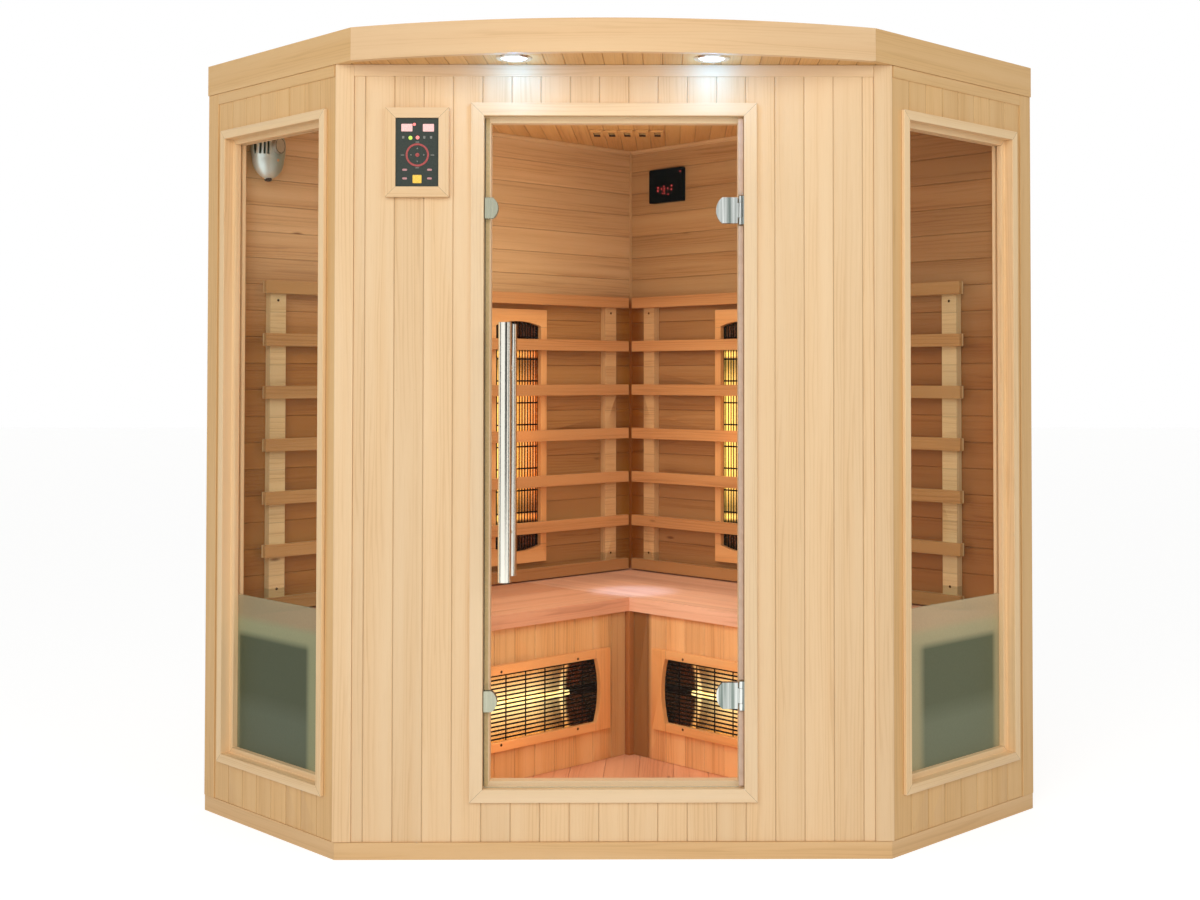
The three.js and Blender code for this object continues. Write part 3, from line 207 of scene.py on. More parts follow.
def timber(name, tones, grain, second=None, mask=None, joint=None, knots=(), figured=False, stains=(),
           second_tones=None):
    """Sanded timber. A second grain, with its own tones if given, holds where mask(g) is 1. joint(g) is 1 on a
    joint line. Each painted shade has the mask and the tint of a part that is painted darker as shade."""
    g = Graph(name)
    place, tone, clear = boards(g, **grain)
    if second:
        other_place, other_tone, other_clear = boards(g, **second)
        share = mask(g)
        if second_tones:
            tones = [g.blend(share, a, b) for a, b in zip(tones, second_tones)]
        place = g.choose(share, place, other_place)
        tone = g.math("ADD", tone, g.math("MULTIPLY", share, g.math("SUBTRACT", other_tone, tone)))
        clear = g.math("ADD", clear, g.math("MULTIPLY", share, g.math("SUBTRACT", other_clear, clear)))
    figure = g.noise(g.scaled(place, (24.0, 0.9, 24.0)), detail=4.0)
    swing = g.math("ADD", g.dot(place, RING_LEAN), g.math("MULTIPLY", figure, 0.07))
    rings = g.math("ABSOLUTE", g.math("SINE", g.math("MULTIPLY", swing, 330.0)))
    pores = g.noise(g.scaled(place, (900.0, 14.0, 900.0)), detail=3.0)
    late = g.math("MULTIPLY", g.spread(rings, 0.80, 1.0), g.spread(figure, 0.42, 0.62))
    colour = g.blend(g.spread(figure, 0.3, 0.7), tones[0], tones[1])
    colour = g.blend(g.math("MULTIPLY", late, 0.36 if figured else 0.26), colour, tones[2])
    colour = g.blend(g.math("MULTIPLY", g.spread(pores, 0.55, 0.75), 0.14), colour, tones[2])
    if figured:
        streak = g.noise(g.scaled(place, (150.0, 1.6, 150.0)), detail=2.0)
        colour = g.blend(g.spread(streak, 0.60, 0.72, 0.0, 0.26), colour, tones[2])
        scatter = g.new("ShaderNodeTexVoronoi", {"Vector": g.scaled(place, (9.0, 2.6, 9.0)), "Scale": 1.0})
        colour = g.blend(g.spread(scatter.outputs["Distance"], 0.02, 0.055, 0.75, 0.0), colour, KNOT)
    for knot in knots:
        gap = g.new("ShaderNodeVectorMath", {0: g.place, 1: knot}, operation="DISTANCE").outputs["Value"]
        colour = g.blend(g.spread(gap, 0.0016, 0.0034, 0.85, 0.0), colour, KNOT)
    tone_range = (0.91, 1.05) if figured else (0.95, 1.03)
    shade = g.math("MULTIPLY", clear, g.spread(tone, 0.0, 1.0, *tone_range))
    if joint:
        shade = g.math("MULTIPLY", shade, g.math("SUBTRACT", 1.0, g.math("MULTIPLY", joint(g), 0.5)))
    # Painted shade: each mask darkens its part of the timber by its tint.
    for shaded_part, tint in stains:
        colour = g.blend(shaded_part(g), colour, tint, "MULTIPLY")
    value = g.new("ShaderNodeHueSaturation", {"Color": colour, "Value": shade})
    g.set("Base Color", value.outputs["Color"])
    g.set("Roughness", g.spread(pores, 0.3, 0.7, 0.46, 0.62))
    g.bump(pores, 0.00025, 0.5)
    return g.material


def above(axis, level):
    """A mask that is 1 beyond a level along an axis."""
    return lambda g: g.math("GREATER_THAN", g.dot(g.place, axis), level)


def reach(g, axis, middle, half):
    """How far a place lies beyond half a size from the middle, along an axis."""
    return g.math("SUBTRACT", g.math("ABSOLUTE", g.math("SUBTRACT", g.dot(g.place, axis), middle)), half)


def ends(node, axis):
    """The lowest and highest places of a node along an axis."""
    places = [vertex.co.dot(axis) for vertex in frame["nodes"][node].data.vertices]
    return min(places), max(places)


def span(node, axis):
    """The middle and half the size of a node along an axis."""
    low, high = ends(node, axis)
    return (low + high) / 2, (high - low) / 2


def board_run(low, high, nominal, margin=0.0):
    """The pitch and start of the boards that the grooves of a solid mark out between two places."""
    width = high - low - 2 * margin
    return {"pitch": width / round(width / nominal), "start": low + margin}


def mitred(node, across):
    """The mask and joint lines of a mitred frame: 1 on its uprights."""
    width, height = span(node, across), span(node, Z)

    def lead(g):
        return g.math("SUBTRACT", reach(g, across, *width), reach(g, Z, *height))

    def upright(g):
        return g.math("GREATER_THAN", lead(g), 0.0)

    def line(g):
        return g.math("LESS_THAN", g.math("ABSOLUTE", lead(g)), JOINT_LINE)

    return upright, line


def butted(node, axis, from_end):
    """The mask and joint lines of a frame whose end pieces are butted to its sides: 1 on the ends."""
    middle, half = span(node, axis)

    def beyond(g):
        return reach(g, axis, middle, half - from_end)

    def end_pieces(g):
        return g.math("GREATER_THAN", beyond(g), 0.0)

    def line(g):
        return g.math("LESS_THAN", g.math("ABSOLUTE", beyond(g)), JOINT_LINE)

    return end_pieces, line


def dress(node, material):
    slots = frame["nodes"][node].data.materials
    slots.clear()
    slots.append(material)


def wood(node, *finish, **more):
    """Give a node its own timber."""
    dress(node, timber(f"{node}_wood", *finish, **more))


def upright_grain(across, **more):
    return {"along": Z, "across": across, **more}


def level_grain(along, **more):
    return {"along": along, "across": Z, **more}


# Front of the cabin
wall_low, wall_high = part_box("front_wall")
rail_level = wall_high.z - RAIL_HEIGHT
cabin_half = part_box("plinth")[1].x - PLINTH_PROUD
casing_mask, casing_line = mitred("door_casing", X)
front_boards = upright_grain(X, **board_run(wall_low.x, wall_high.x, BOARD, STILE))
KNOTS = [Vector((x, wall_low.y, 1.072)) for x in (-0.582, -0.501, -0.458)]
wood("front_wall", PALE, front_boards, level_grain(X, seed=3.0), above(Z, rail_level), knots=KNOTS)
wood("door_casing", CASING, level_grain(X, seed=5.0), upright_grain(X, seed=9.0), casing_mask, casing_line)
control_mask, control_line = mitred("control_frame", X)
wood("control_frame", PALE, level_grain(X, seed=21.0), upright_grain(X, seed=24.0), control_mask,
     control_line)
wood("roof_front_fascia", FASCIA, level_grain(X, seed=31.0, flat=True))
wood("roof_rim", TAN, level_grain(X, seed=33.0, flat=True))
wood("roof_cover", TAN, {"along": Y, "across": X, "pitch": 2 * BOARD})
wood("plinth", FOOT, level_grain(X, seed=37.0, flat=True))

# Window walls, posts and back walls
# Both back walls are one timber: the right wall's darker umber tones are painted shade.
WALLS = {LEFT: WARM, RIGHT: UMBER}
# Depth of the inner boards: behind it a back wall has the upright boards of the outside
WALL_SKIN = 0.010
# Painted shade on the wall behind a backrest: its tint, with its shares in the middle, at the window, and at
# the window higher up.
# Beside the corner it is full, and towards the window its upper edge gets softer.
REST_SHADE = {LEFT: (0.52, 0.31, 0.07, 1.0), RIGHT: (0.58, 0.28, 0.04, 1.0)}
REST_SHARES = {LEFT: (0.70, 0.88, 0.0), RIGHT: (0.48, 0.70, 0.3)}
REST_CORNER, REST_WINDOW = (0.03, 0.08), (0.7, 1.0)
REST_SOFT = (0.02, 0.16)


def behind_rest(side):
    """A mask of the painted shade on the inside of a back wall behind its backrest."""
    top, corner = ends(f"{side}_backrest", Z)[1], ends(f"{side}_seat", INWARD[side])[0]
    middle, window, above_it = REST_SHARES[side]
    inside = above(INWARD[side], corner - WALL_SKIN)

    def mask(g):
        run = g.dot(g.place, ALONG[side])

        def from_corner(stretch, *shares):
            return g.spread(run, *(corner + distance for distance in stretch), *shares)

        soft = from_corner(REST_WINDOW, *REST_SOFT)
        full, none = g.math("SUBTRACT", top, soft), g.math("ADD", top, g.math("MULTIPLY", soft, 0.5))
        low = g.spread(g.dot(g.place, Z), full, none, 1.0, 0.0)
        near = from_corner(REST_CORNER, 1.0, middle)
        share = g.math("ADD", near, from_corner(REST_WINDOW, 0.0, window - middle))
        far = from_corner(REST_WINDOW, 0.0, above_it)
        return g.math("MULTIPLY", inside(g), g.math("MAXIMUM", g.math("MULTIPLY", low, share), far))

    return mask


for side in (LEFT, RIGHT):
    along, inward, bay = ALONG[side], INWARD[side], WINDOW_ALONG[side]
    seed = 50.0 + 10.0 * SIGN[side]
    window_mask, window_line = mitred(f"{side}_window_frame", bay)
    bay_boards = upright_grain(bay, seed=seed, **board_run(*ends(f"{side}_window_wall", bay), BOARD))
    wood(f"{side}_window_wall", TAN, bay_boards, level_grain(bay, seed=seed), above(Z, rail_level))
    wood(f"{side}_window_frame", SASH, level_grain(bay, seed=seed + 1), upright_grain(bay, seed=seed + 2),
         window_mask, window_line)
    wood(f"{side}_front_post", PALE, upright_grain(X, seed=seed + 3))
    wood(f"{side}_corner_post", TAN, upright_grain(bay, seed=seed + 4))
    wall_boards = level_grain(along, seed=seed + 20, **board_run(wall_low.z, wall_high.z, BOARD))
    wall = f"back_{side}_wall"
    outer_boards = upright_grain(along, seed=seed + 30, **board_run(*ends(wall, along), BOARD))
    outside = above(-inward, WALL_SKIN - ends(f"{side}_seat", inward)[0])
    wood(wall, WALLS[side], wall_boards, outer_boards, outside, figured=True,
         stains=[(behind_rest(side), REST_SHADE[side])], second_tones=TAN)

# Floor, ceiling and bench
floor_grain = {"along": Y, "across": X, "seed": 71.0, **board_run(-cabin_half, cabin_half, FLOOR_BOARD)}
wood("floor_panel", ROSE, floor_grain, figured=True)
ceiling_grain = {"along": Y, "across": X, "seed": 75.0, **board_run(-cabin_half, cabin_half, CEILING_BOARD)}
wood("ceiling_panel", HONEY, ceiling_grain, figured=True)
VENT_HALF, VENT_END_RIM = 0.0092, 0.0238
# Painted shade in the vents' holes
VENT_SHADE = (0.10, 0.06, 0.04, 1.0)


def vent_holes(g):
    """A mask of painted shade on the walls of the vents' holes, one under every ceiling board."""
    count = g.math("ADD", g.math("DIVIDE", g.dot(g.place, X), ceiling_grain["pitch"]), 0.5)
    from_middle = g.math("ABSOLUTE", g.math("SUBTRACT", g.math("FRACT", count), 0.5))
    middle, half = span("ceiling_vent", Y)
    across = g.math("LESS_THAN", from_middle, VENT_HALF / ceiling_grain["pitch"])
    return g.math("MULTIPLY", across, g.math("LESS_THAN", reach(g, Y, middle, half - VENT_END_RIM), 0.0))


wood("ceiling_vent", HONEY, level_grain(X, seed=79.0), stains=[(vent_holes, VENT_SHADE)])
# The two sides' tones are lit and shaded copies of one timber: painted light and shade.
BENCHES = {LEFT: OCHRE, RIGHT: APRICOT}
SEATS = {LEFT: SEAT, RIGHT: BLUSH}
# Painted shade: tints of the slats, with the upright beside the corner in part, and of the slats' ends at the
# window
SLAT_SHADE, SLAT_NEAR, UPRIGHT_SHARE = (0.84, 0.52, 0.37, 1.0), (0.3, 0.6), 0.6
END_SHADE, SLAT_FAR = (0.84, 1.0, 1.0, 1.0), (0.7, 0.9)
# Painted shade: tints of the slat on the seat, of the bench's first board beside the corner strip, and of the
# seat's back
LOW_SHADE, LOW_SLAT = (0.68, 0.68, 0.64, 1.0), 0.060
BENCH_SHADE, BENCH_SHADE_WIDTH = (0.36, 0.28, 0.18, 1.0), 0.062
BENCH_SHARES = {LEFT: 0.3, RIGHT: 1.0}
BENCH_SHADE_SOFT = (-0.006, 0.008)
SEAT_SHADE, SEAT_BACK, SEAT_SHARE = (0.52, 0.46, 0.40, 1.0), (0.16, 0.28), 0.45


def slat_masks(side, level):
    """Masks of painted shade on a backrest's slats, with part of its corner upright, and on the slats' ends at
    the window.
    """
    corner, front = ends(f"{side}_backrest", ALONG[side])[0], above(INWARD[side], level)

    def from_corner(g, stretch, *shares):
        return g.spread(g.dot(g.place, ALONG[side]), *(corner + distance for distance in stretch), *shares)

    def faces(g):
        return g.math("MAXIMUM", front(g), from_corner(g, SLAT_NEAR, UPRIGHT_SHARE, 0.0))

    def window_ends(g):
        return g.math("MULTIPLY", front(g), from_corner(g, SLAT_FAR))

    return faces, window_ends


def lowest_slat(side):
    """A mask of painted shade on the slat that lies on the seat."""
    top = ends(f"{side}_seat", Z)[1] + LOW_SLAT
    return lambda g: g.math("LESS_THAN", g.dot(g.place, Z), top)


def seat_back(g):
    """A mask of painted shade on the seat's back, beside both back walls."""
    gaps = []
    for side in (LEFT, RIGHT):
        wall_face = ends(f"{side}_seat", INWARD[side])[0]
        gaps.append(g.math("SUBTRACT", g.dot(g.place, INWARD[side]), wall_face))
    return g.spread(g.math("MINIMUM", *gaps), *SEAT_BACK, SEAT_SHARE, 0.0)


def beside_strip(side):
    """A mask of the bench's first board, in the shade of the corner strip."""
    edge, share = ends("bench_corner_strip", ALONG[side])[1] + BENCH_SHADE_WIDTH, BENCH_SHARES[side]
    soft = [edge + distance for distance in BENCH_SHADE_SOFT]
    return lambda g: g.spread(g.dot(g.place, ALONG[side]), *soft, share, 0.0)


# The corner strip's dark cocoa tone is painted shade of the inner corner.
wood("bench_corner_strip", COCOA, upright_grain(X, seed=81.0))
for side in (LEFT, RIGHT):
    along, inward = ALONG[side], INWARD[side]
    seed = 100.0 + 10.0 * SIGN[side]
    seat_grain = {"along": along, "across": inward, "pitch": SEAT_BOARD, "seed": seed}
    wood(f"{side}_seat", SEATS[side], seat_grain, figured=True, stains=[(seat_back, SEAT_SHADE)])
    bench_ends = ends("bench_corner_strip", along)[0], ends(f"{side}_bench_front", along)[1]
    front_grain = upright_grain(along, seed=seed + 1, **board_run(*bench_ends, BENCH_BOARD))
    wood(f"{side}_bench_front", BENCHES[side], front_grain, figured=True,
         stains=[(beside_strip(side), BENCH_SHADE)])
    rest = f"{side}_backrest"
    slat_level = ends(rest, inward)[0] + SLAT_BACK
    rest_grain = upright_grain(along, pitch=REST_PITCH, seed=seed + 2)
    slat_grain = level_grain(along, pitch=SLAT_PITCH, start=SLAT_START, seed=seed + 3)
    rest_masks = *slat_masks(side, slat_level + UPRIGHT_PROUD), lowest_slat(side)
    wood(rest, REST, rest_grain, slat_grain, above(inward, slat_level), figured=True,
         stains=list(zip(rest_masks, (SLAT_SHADE, END_SHADE, LOW_SHADE))))
    for level, axis, across in (("back", Z, along), ("calf", along, Z)):
        node = f"{side}_{level}_heater_frame"
        end_mask, end_line = butted(node, axis, HEATER_END)
        sides_grain = {"along": axis, "across": across, "seed": seed + 4}
        ends_grain = {"along": across, "across": axis, "seed": seed + 5}
        # The frames' orange tone is partly the timber and partly painted glow of the heaters.
        wood(node, ORANGE, sides_grain, ends_grain, end_mask, end_line)


# Glass, metal and plastic
def door_glass_finish():
    """Clear glass: a dark, nearly empty pane with pale green edges."""
    g = Graph("clear_glass", roughness=0.03)
    faint = g.noise(g.place, 3.0)
    facing = g.math("ABSOLUTE", g.dot(g.new("ShaderNodeTexCoord").outputs["Normal"], Y))
    rim = g.math("LESS_THAN", facing, 0.5)
    g.set("Base Color", g.blend(rim, linear(70, 84, 78), linear(176, 200, 184)))
    g.set("Alpha", g.math("ADD", g.spread(faint, 0.3, 0.7, 0.02, 0.03), g.math("MULTIPLY", rim, 0.55)))
    return g.material


def window_glass_finish(name, bay, node, lit_film_top, lit_film_side, film_shade_high, film_shade_low, front_edge, rear_edge,
                        veil):
    """Clear glass above a frosted film, where painted shade stands for the dark space seen through it as a soft
    sage patch, with painted light in a paler band above and at its sides. Round its rebate it shows the sash's
    wood colour as painted light.
    """
    g = Graph(name, roughness=0.05)
    height, (middle, half) = g.dot(g.place, Z), span(node, bay)
    floor_middle, floor_half = span(node, Z)
    rebate = g.math("MAXIMUM", reach(g, bay, middle, half), reach(g, Z, floor_middle, floor_half))
    # Round its rebate the glass is painted the sash's wood colour: painted light where the groove would be
    # dark.
    hidden = g.math("GREATER_THAN", rebate, -SASH_STEP)
    frosted = g.spread(height, FROST_TOP, FROST_TOP + 0.002, 1.0, 0.0)
    # Painted shade: a soft patch, inset from the front, rear and top, for the dark space seen through the film,
    # with painted light in the paler band above it and at its sides.
    front = g.spread(g.dot(g.place, bay), *(middle - half + edge for edge in front_edge))
    rear = g.spread(g.dot(g.place, bay), *(middle + half - edge for edge in rear_edge), 1.0, 0.2)
    under = g.spread(height, FROST_TOP - 0.102, FROST_TOP - 0.084, 1.0, 0.0)
    side_band = g.spread(height, FROST_TOP - 0.066, FROST_TOP - 0.044, 1.0, 0.0)
    shade_patch = g.math("MULTIPLY", g.math("MULTIPLY", front, rear), under)
    cloud = g.noise(g.place, 260.0, 2.0)
    deep = g.blend(g.spread(height, 0.27, 0.32), film_shade_low, film_shade_high)
    film = g.blend(shade_patch, g.blend(side_band, lit_film_top, lit_film_side), deep)
    pane = g.blend(frosted, linear(140, 162, 120), film)
    g.set("Base Color", g.blend(hidden, pane, SASH[0]))
    frost = g.math("ADD", g.spread(cloud, 0.2, 0.8, 0.56, 0.62), g.math("MULTIPLY", shade_patch, 0.18))
    seen = g.math("ADD", veil, g.math("MULTIPLY", frosted, g.math("SUBTRACT", frost, veil)))
    g.set("Alpha", g.math("MAXIMUM", seen, hidden))
    g.set("Roughness", g.spread(frosted, 0.0, 1.0, 0.05, 0.6))
    return g.material


def metal(name, colour, other, low, high, stretch=(1.0, 1.0, 1.0), scale=400.0):
    g = Graph(name, metallic=1.0)
    brushed = g.noise(g.scaled(g.place, stretch), scale)
    g.set("Base Color", g.blend(g.spread(brushed, 0.3, 0.7), *tones(colour, other)))
    g.set("Roughness", g.spread(brushed, 0.3, 0.7, low, high))
    return g.material


def plastic(name, colour, other, low, high, scale=300.0, metallic=0.0, gloss=0.5):
    g = Graph(name, metallic=metallic)
    g.set("Specular IOR Level", gloss)
    grain = g.noise(g.place, scale, 2.0)
    g.set("Base Color", g.blend(g.spread(grain, 0.3, 0.7), *tones(colour, other)))
    g.set("Roughness", g.spread(grain, 0.3, 0.7, low, high))
    g.bump(grain, 0.00005, 0.4)
    return g.material


def glowing(name, colour, other, strength, scale=300.0):
    g = Graph(name, roughness=0.35)
    cloud = g.noise(g.place, scale, 2.0)
    tint = g.blend(g.spread(cloud, 0.35, 0.65), *tones(colour, other))
    g.set("Base Color", tint)
    g.set("Emission Color", tint)
    g.set("Emission Strength", strength)
    return g.material


FROST_TOP = 0.553
# Per window: the film's painted light in its top band and at its sides, its painted shade high and low in the
# patch, the patch's front and rear edges, and the clear glass's veil.
FILMS = {LEFT: (linear(174, 161, 126), linear(174, 178, 137), linear(84, 92, 66), linear(100, 109, 86),
                (0.088, 0.106), (0.026, 0.014), 0.03),
         RIGHT: (linear(211, 190, 150), linear(204, 196, 152), linear(107, 113, 84), linear(129, 136, 108),
                 (0.078, 0.106), (0.044, 0.026), 0.02)}
dress("door_glass", door_glass_finish())
for side in (LEFT, RIGHT):
    pane = f"{side}_window_glass"
    dress(pane, window_glass_finish(f"{pane}_film", WINDOW_ALONG[side], pane, *FILMS[side]))
steel = metal("brushed_steel", (252, 249, 236), (246, 242, 228), 0.17, 0.19, (1.0, 1.0, 0.03))
UPRIGHT_BRUSH_AND_REFLECTION = (1.0, 0.02, 0.02)
# The dark tone of polished chrome, stretched into upright streaks, is painted reflection on the hinges.
streaked_chrome = metal("polished_chrome_painted_reflections", (250, 252, 248), (118, 132, 124), 0.10, 0.18, UPRIGHT_BRUSH_AND_REFLECTION, 110.0)
satin = metal("satin_chrome", (194, 194, 172), (178, 180, 158), 0.22, 0.32, UPRIGHT_BRUSH_AND_REFLECTION, 150.0)
bright = metal("bright_chrome", (226, 226, 222), (212, 212, 208), 0.08, 0.14)
wire = plastic("black_enamel", (24, 11, 8), (15, 7, 6), 0.5, 0.65, gloss=0.15)
dark_gloss = plastic("dark_gloss", (66, 72, 66), (58, 64, 58), 0.3, 0.4, gloss=0.15)
media_gloss = plastic("media_gloss", (9, 4, 5), (6, 3, 4), 0.3, 0.4, gloss=0.02)
opal = glowing("opal_lamp", (250, 246, 250), (242, 238, 246), 1.2)
dress("door_handle", steel)
for node, finish in (("hinge_clamp", streaked_chrome), ("hinge_leaf", streaked_chrome), ("catch_plate", satin)):
    for level in ("upper", "lower"):
        dress(f"{level}_{node}", finish)
dress("control_panel", dark_gloss)
dress("media_panel", media_gloss)
EGG_BELLY_RISE, EGG_HALF = 0.086, 0.074


def silver_finish():
    """Silver paint with a painted highlight a little left of the middle and painted shade towards the sides;
    black as painted shade within the egg's slots and in the button's socket.
    """
    g = Graph("silver_paint")
    fine = g.noise(g.place, 900.0, 2.0)
    belly = ends("ionizer_body", Z)[0] + EGG_BELLY_RISE
    depth = 0.0
    level_axes = [(axis, span("ionizer_body", axis)) for axis in (ALONG[LEFT], INWARD[LEFT])]
    for axis, (middle, half) in level_axes + [(Z, (belly, EGG_HALF))]:
        share = g.math("DIVIDE", g.math("SUBTRACT", g.dot(g.place, axis), middle), half)
        depth = g.math("ADD", depth, g.math("MULTIPLY", share, share))
    # Painted shade: black inside an ellipsoid of the egg, within its slots.
    slot_shade = g.math("LESS_THAN", depth, 0.88)
    # Painted highlight a little left of the egg's middle, with painted shade towards its sides.
    low, high = ends("ionizer_body", X)
    across = g.spread(g.dot(g.place, X), low, high)
    away = g.spread(g.math("ABSOLUTE", g.math("SUBTRACT", across, 0.38)), 0.08, 0.46)
    paint = g.blend(away, g.blend(fine, linear(240, 255, 254), linear(230, 250, 246)), linear(150, 164, 154))
    g.set("Base Color", g.blend(slot_shade, paint, linear(12, 10, 8)))
    g.set("Metallic", g.math("MULTIPLY", g.math("SUBTRACT", 1.0, slot_shade), 0.4))
    g.set("Roughness", g.spread(fine, 0.3, 0.7, 0.28, 0.36))
    return g.material


silver = silver_finish()
dress("ionizer_body", silver)
button_grey = plastic("button_grey", (192, 190, 178), (178, 176, 164), 0.35, 0.45, metallic=0.5)
dress("ionizer_button", button_grey)
dress("ceiling_lamp", opal)
for side in (LEFT, RIGHT):
    dress(f"{side}_spotlight", bright)


def quartz(name, axis, middle, lit_half):
    """A glowing tube, dark beyond its lit part and at its ceramic caps."""
    g = Graph(name, roughness=0.3)
    cap = g.math("GREATER_THAN", reach(g, axis, middle, lit_half), 0.0)
    flicker = g.noise(g.scaled(g.place, (60.0, 60.0, 60.0)), 1.0, 2.0)
    hot = g.blend(g.spread(flicker, 0.3, 0.7), linear(255, 238, 170), linear(255, 222, 130))
    g.set("Base Color", g.blend(cap, hot, linear(40, 26, 20)))
    g.set("Emission Color", hot)
    g.set("Emission Strength", g.math("MULTIPLY", g.math("SUBTRACT", 1.0, cap), 1.4))
    return g.material


def trough_painted_glow(name, axis, away, unit, hot, warm, power):
    """A polished trough with painted glow, the heater's light on it painted as emission and a pale colour:
    brightest where away(g) is 0, with a painted reflection as a bar near each end, and dark beyond it.
    """
    g = Graph(name, metallic=0.8)
    middle, half = span(f"{unit}_tube", axis)
    beyond = reach(g, axis, middle, half - DARK_END)
    bar = g.spread(g.math("ABSOLUTE", g.math("ADD", beyond, BAR_FROM_DARK)), 0.005, 0.014, 1.0, 0.0)
    dimmed = g.spread(beyond, -0.115, -0.045, 1.0, 0.3)
    run = g.math("MULTIPLY", dimmed, g.spread(beyond, -0.006, 0.004, 1.0, 0.03))
    lit = g.math("MAXIMUM", run, bar)
    dim = away(g)
    ripple = g.noise(g.scaled(g.place, (90.0, 90.0, 90.0)), 1.0, 2.0)
    g.set("Base Color", g.blend(lit, linear(120, 70, 48), linear(236, 206, 150)))
    g.set("Roughness", g.spread(ripple, 0.3, 0.7, 0.2, 0.34))
    g.set("Emission Color", g.blend(g.spread(dim, 0.05, 0.95), hot, warm))
    glow = g.math("MULTIPLY", lit, g.spread(dim, 0.0, 1.0, power, 0.45 * power))
    g.set("Emission Strength", g.math("MULTIPLY", glow, g.spread(ripple, 0.2, 0.8, 0.93, 1.05)))
    return g.material


# Painted glow: where it stops short of each tube end, and how far from there its painted reflection bar lies
DARK_END = 0.092
BAR_FROM_DARK = 0.014
# Hot and warm colours and the strength of each trough's painted glow
PAINTED_GLOWS = {"back": (linear(255, 204, 96), linear(238, 112, 30), 2.0),
         "calf": (linear(255, 236, 166), linear(234, 142, 56), 1.3)}


def across_glow(unit):
    """The painted glow's fall, dimmer from the left of a standing trough to its right."""
    low, high = ends(f"{unit}_reflector", X)
    return lambda g: g.spread(g.dot(g.place, X), low, high)


def beside_glow(unit):
    """The painted glow's fall, dimmer away from the tube of a lying trough."""
    centre, width = span(f"{unit}_tube", Z)[0], span(f"{unit}_reflector", Z)[1]
    return lambda g: g.math("DIVIDE", reach(g, Z, centre, 0.0), width)


for side in (LEFT, RIGHT):
    for level, axis, fade in (("back", Z, across_glow), ("calf", ALONG[side], beside_glow)):
        unit = f"{side}_{level}_heater"
        middle, half = span(f"{unit}_tube", axis)
        dress(f"{unit}_tube", quartz(f"{unit}_quartz", axis, middle, half - DARK_END))
        dress(f"{unit}_grille", wire)
        dress(f"{unit}_reflector", trough_painted_glow(f"{unit}_trough", axis, fade(unit), unit, *PAINTED_GLOWS[level]))

# Edges: timber gets a small round, metal a smaller one with smooth faces, turned forms are shaded smooth
TURNED = ("_handle", "spotlight", "_tube", "_reflector", "_button", "_lamp", "_body", "_fascia")
PRESSED = ("_clamp", "_leaf", "_plate")


def soften(node, width, segments):
    edge = node.modifiers.new("edge", "BEVEL")
    edge.width = width
    edge.segments = segments
    edge.limit_method = "ANGLE"
    edge.angle_limit = SMOOTH_ANGLE


for name, node in frame["nodes"].items():
    weld = node.modifiers.new("weld", "WELD")
    weld.merge_threshold = WELD
    if name.endswith(TURNED + PRESSED):
        node.data.polygons.foreach_set("use_smooth", [True] * len(node.data.polygons))
    if name.endswith(TURNED):
        split = node.modifiers.new("split", "EDGE_SPLIT")
        split.split_angle = SMOOTH_ANGLE
    elif name.endswith(PRESSED):
        soften(node, METAL_EDGE, 3)
        node.modifiers.new("flat_faces", "WEIGHTED_NORMAL")
    elif "grille" not in name and "glass" not in name:
        soften(node, SOFT_EDGE, 2)


# Pieces that are added to the solids
def rounded(width, height, corner, steps=4):
    """The outline of a rectangle with round corners, about its middle."""
    outline = []
    for quarter, (sx, sy) in enumerate(((1, 1), (-1, 1), (-1, -1), (1, -1))):
        for step in range(steps + 1):
            angle = math.pi / 2 * (quarter + step / steps)
            outline.append((sx * (width / 2 - corner) + corner * math.cos(angle),
                            sy * (height / 2 - corner) + corner * math.sin(angle)))
    return outline


def loft(bm, rings, closed=False):
    """Faces between rings of as many points, with caps unless the rings close on themselves."""
    loops = [[bm.verts.new(point) for point in ring] for ring in rings]
    pairs = list(zip(loops, loops[1:] + loops[:1])) if closed else list(zip(loops, loops[1:]))
    for low, high in pairs:
        for i in range(len(low)):
            j = (i + 1) % len(low)
            bm.faces.new((low[i], low[j], high[j], high[i]))
    if not closed:
        bm.faces.new(loops[0][::-1])
        bm.faces.new(loops[-1])


def raised(bm, outline, place, right, up, height, edge=0.0):
    """A prism on an outline, with its top edge cut back."""
    out = right.cross(up)
    middle = Vector((sum(a for a, _ in outline), sum(b for _, b in outline))) / len(outline)

    def ring(level, inset):
        points = []
        for a, b in outline:
            arm = Vector((a, b)) - middle
            arm = arm * max(0.0, 1 - inset / arm.length) + middle
            points.append(place + right * arm.x + up * arm.y + out * level)
        return points

    loft(bm, [ring(0.0, 0.0), ring(height - edge, 0.0)] + ([ring(height, edge)] if edge else []))


def turned(bm, profile, place, right, up, sides=20, closed=False):
    """A form turned about the axis out of a face; the profile has pairs of radius and level."""
    out = right.cross(up)
    turns = [2 * math.pi * i / sides for i in range(sides)]
    arms = [right * math.cos(turn) + up * math.sin(turn) for turn in turns]
    loft(bm, [[place + arm * radius + out * level for arm in arms] for radius, level in profile], closed)


def quarter_round(radius, steps=6):
    """The outline of a quarter of a circle, with its corner first."""
    turns = [math.pi / 2 * i / steps for i in range(steps + 1)]
    return [(0.0, 0.0)] + [(radius * math.cos(turn), radius * math.sin(turn)) for turn in turns]


def piece(name, bm, material, body="cabin", smooth=False):
    bmesh.ops.recalc_face_normals(bm, faces=bm.faces)
    mesh = bpy.data.meshes.new(name)
    bm.to_mesh(mesh)
    bm.free()
    mesh.materials.append(material)
    added = bpy.data.objects.new(name, mesh)
    bpy.context.scene.collection.objects.link(added)
    if smooth:
        mesh.polygons.foreach_set("use_smooth", [True] * len(mesh.polygons))
        added.modifiers.new("split", "EDGE_SPLIT").split_angle = SMOOTH_ANGLE
    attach(added, body)
    return added


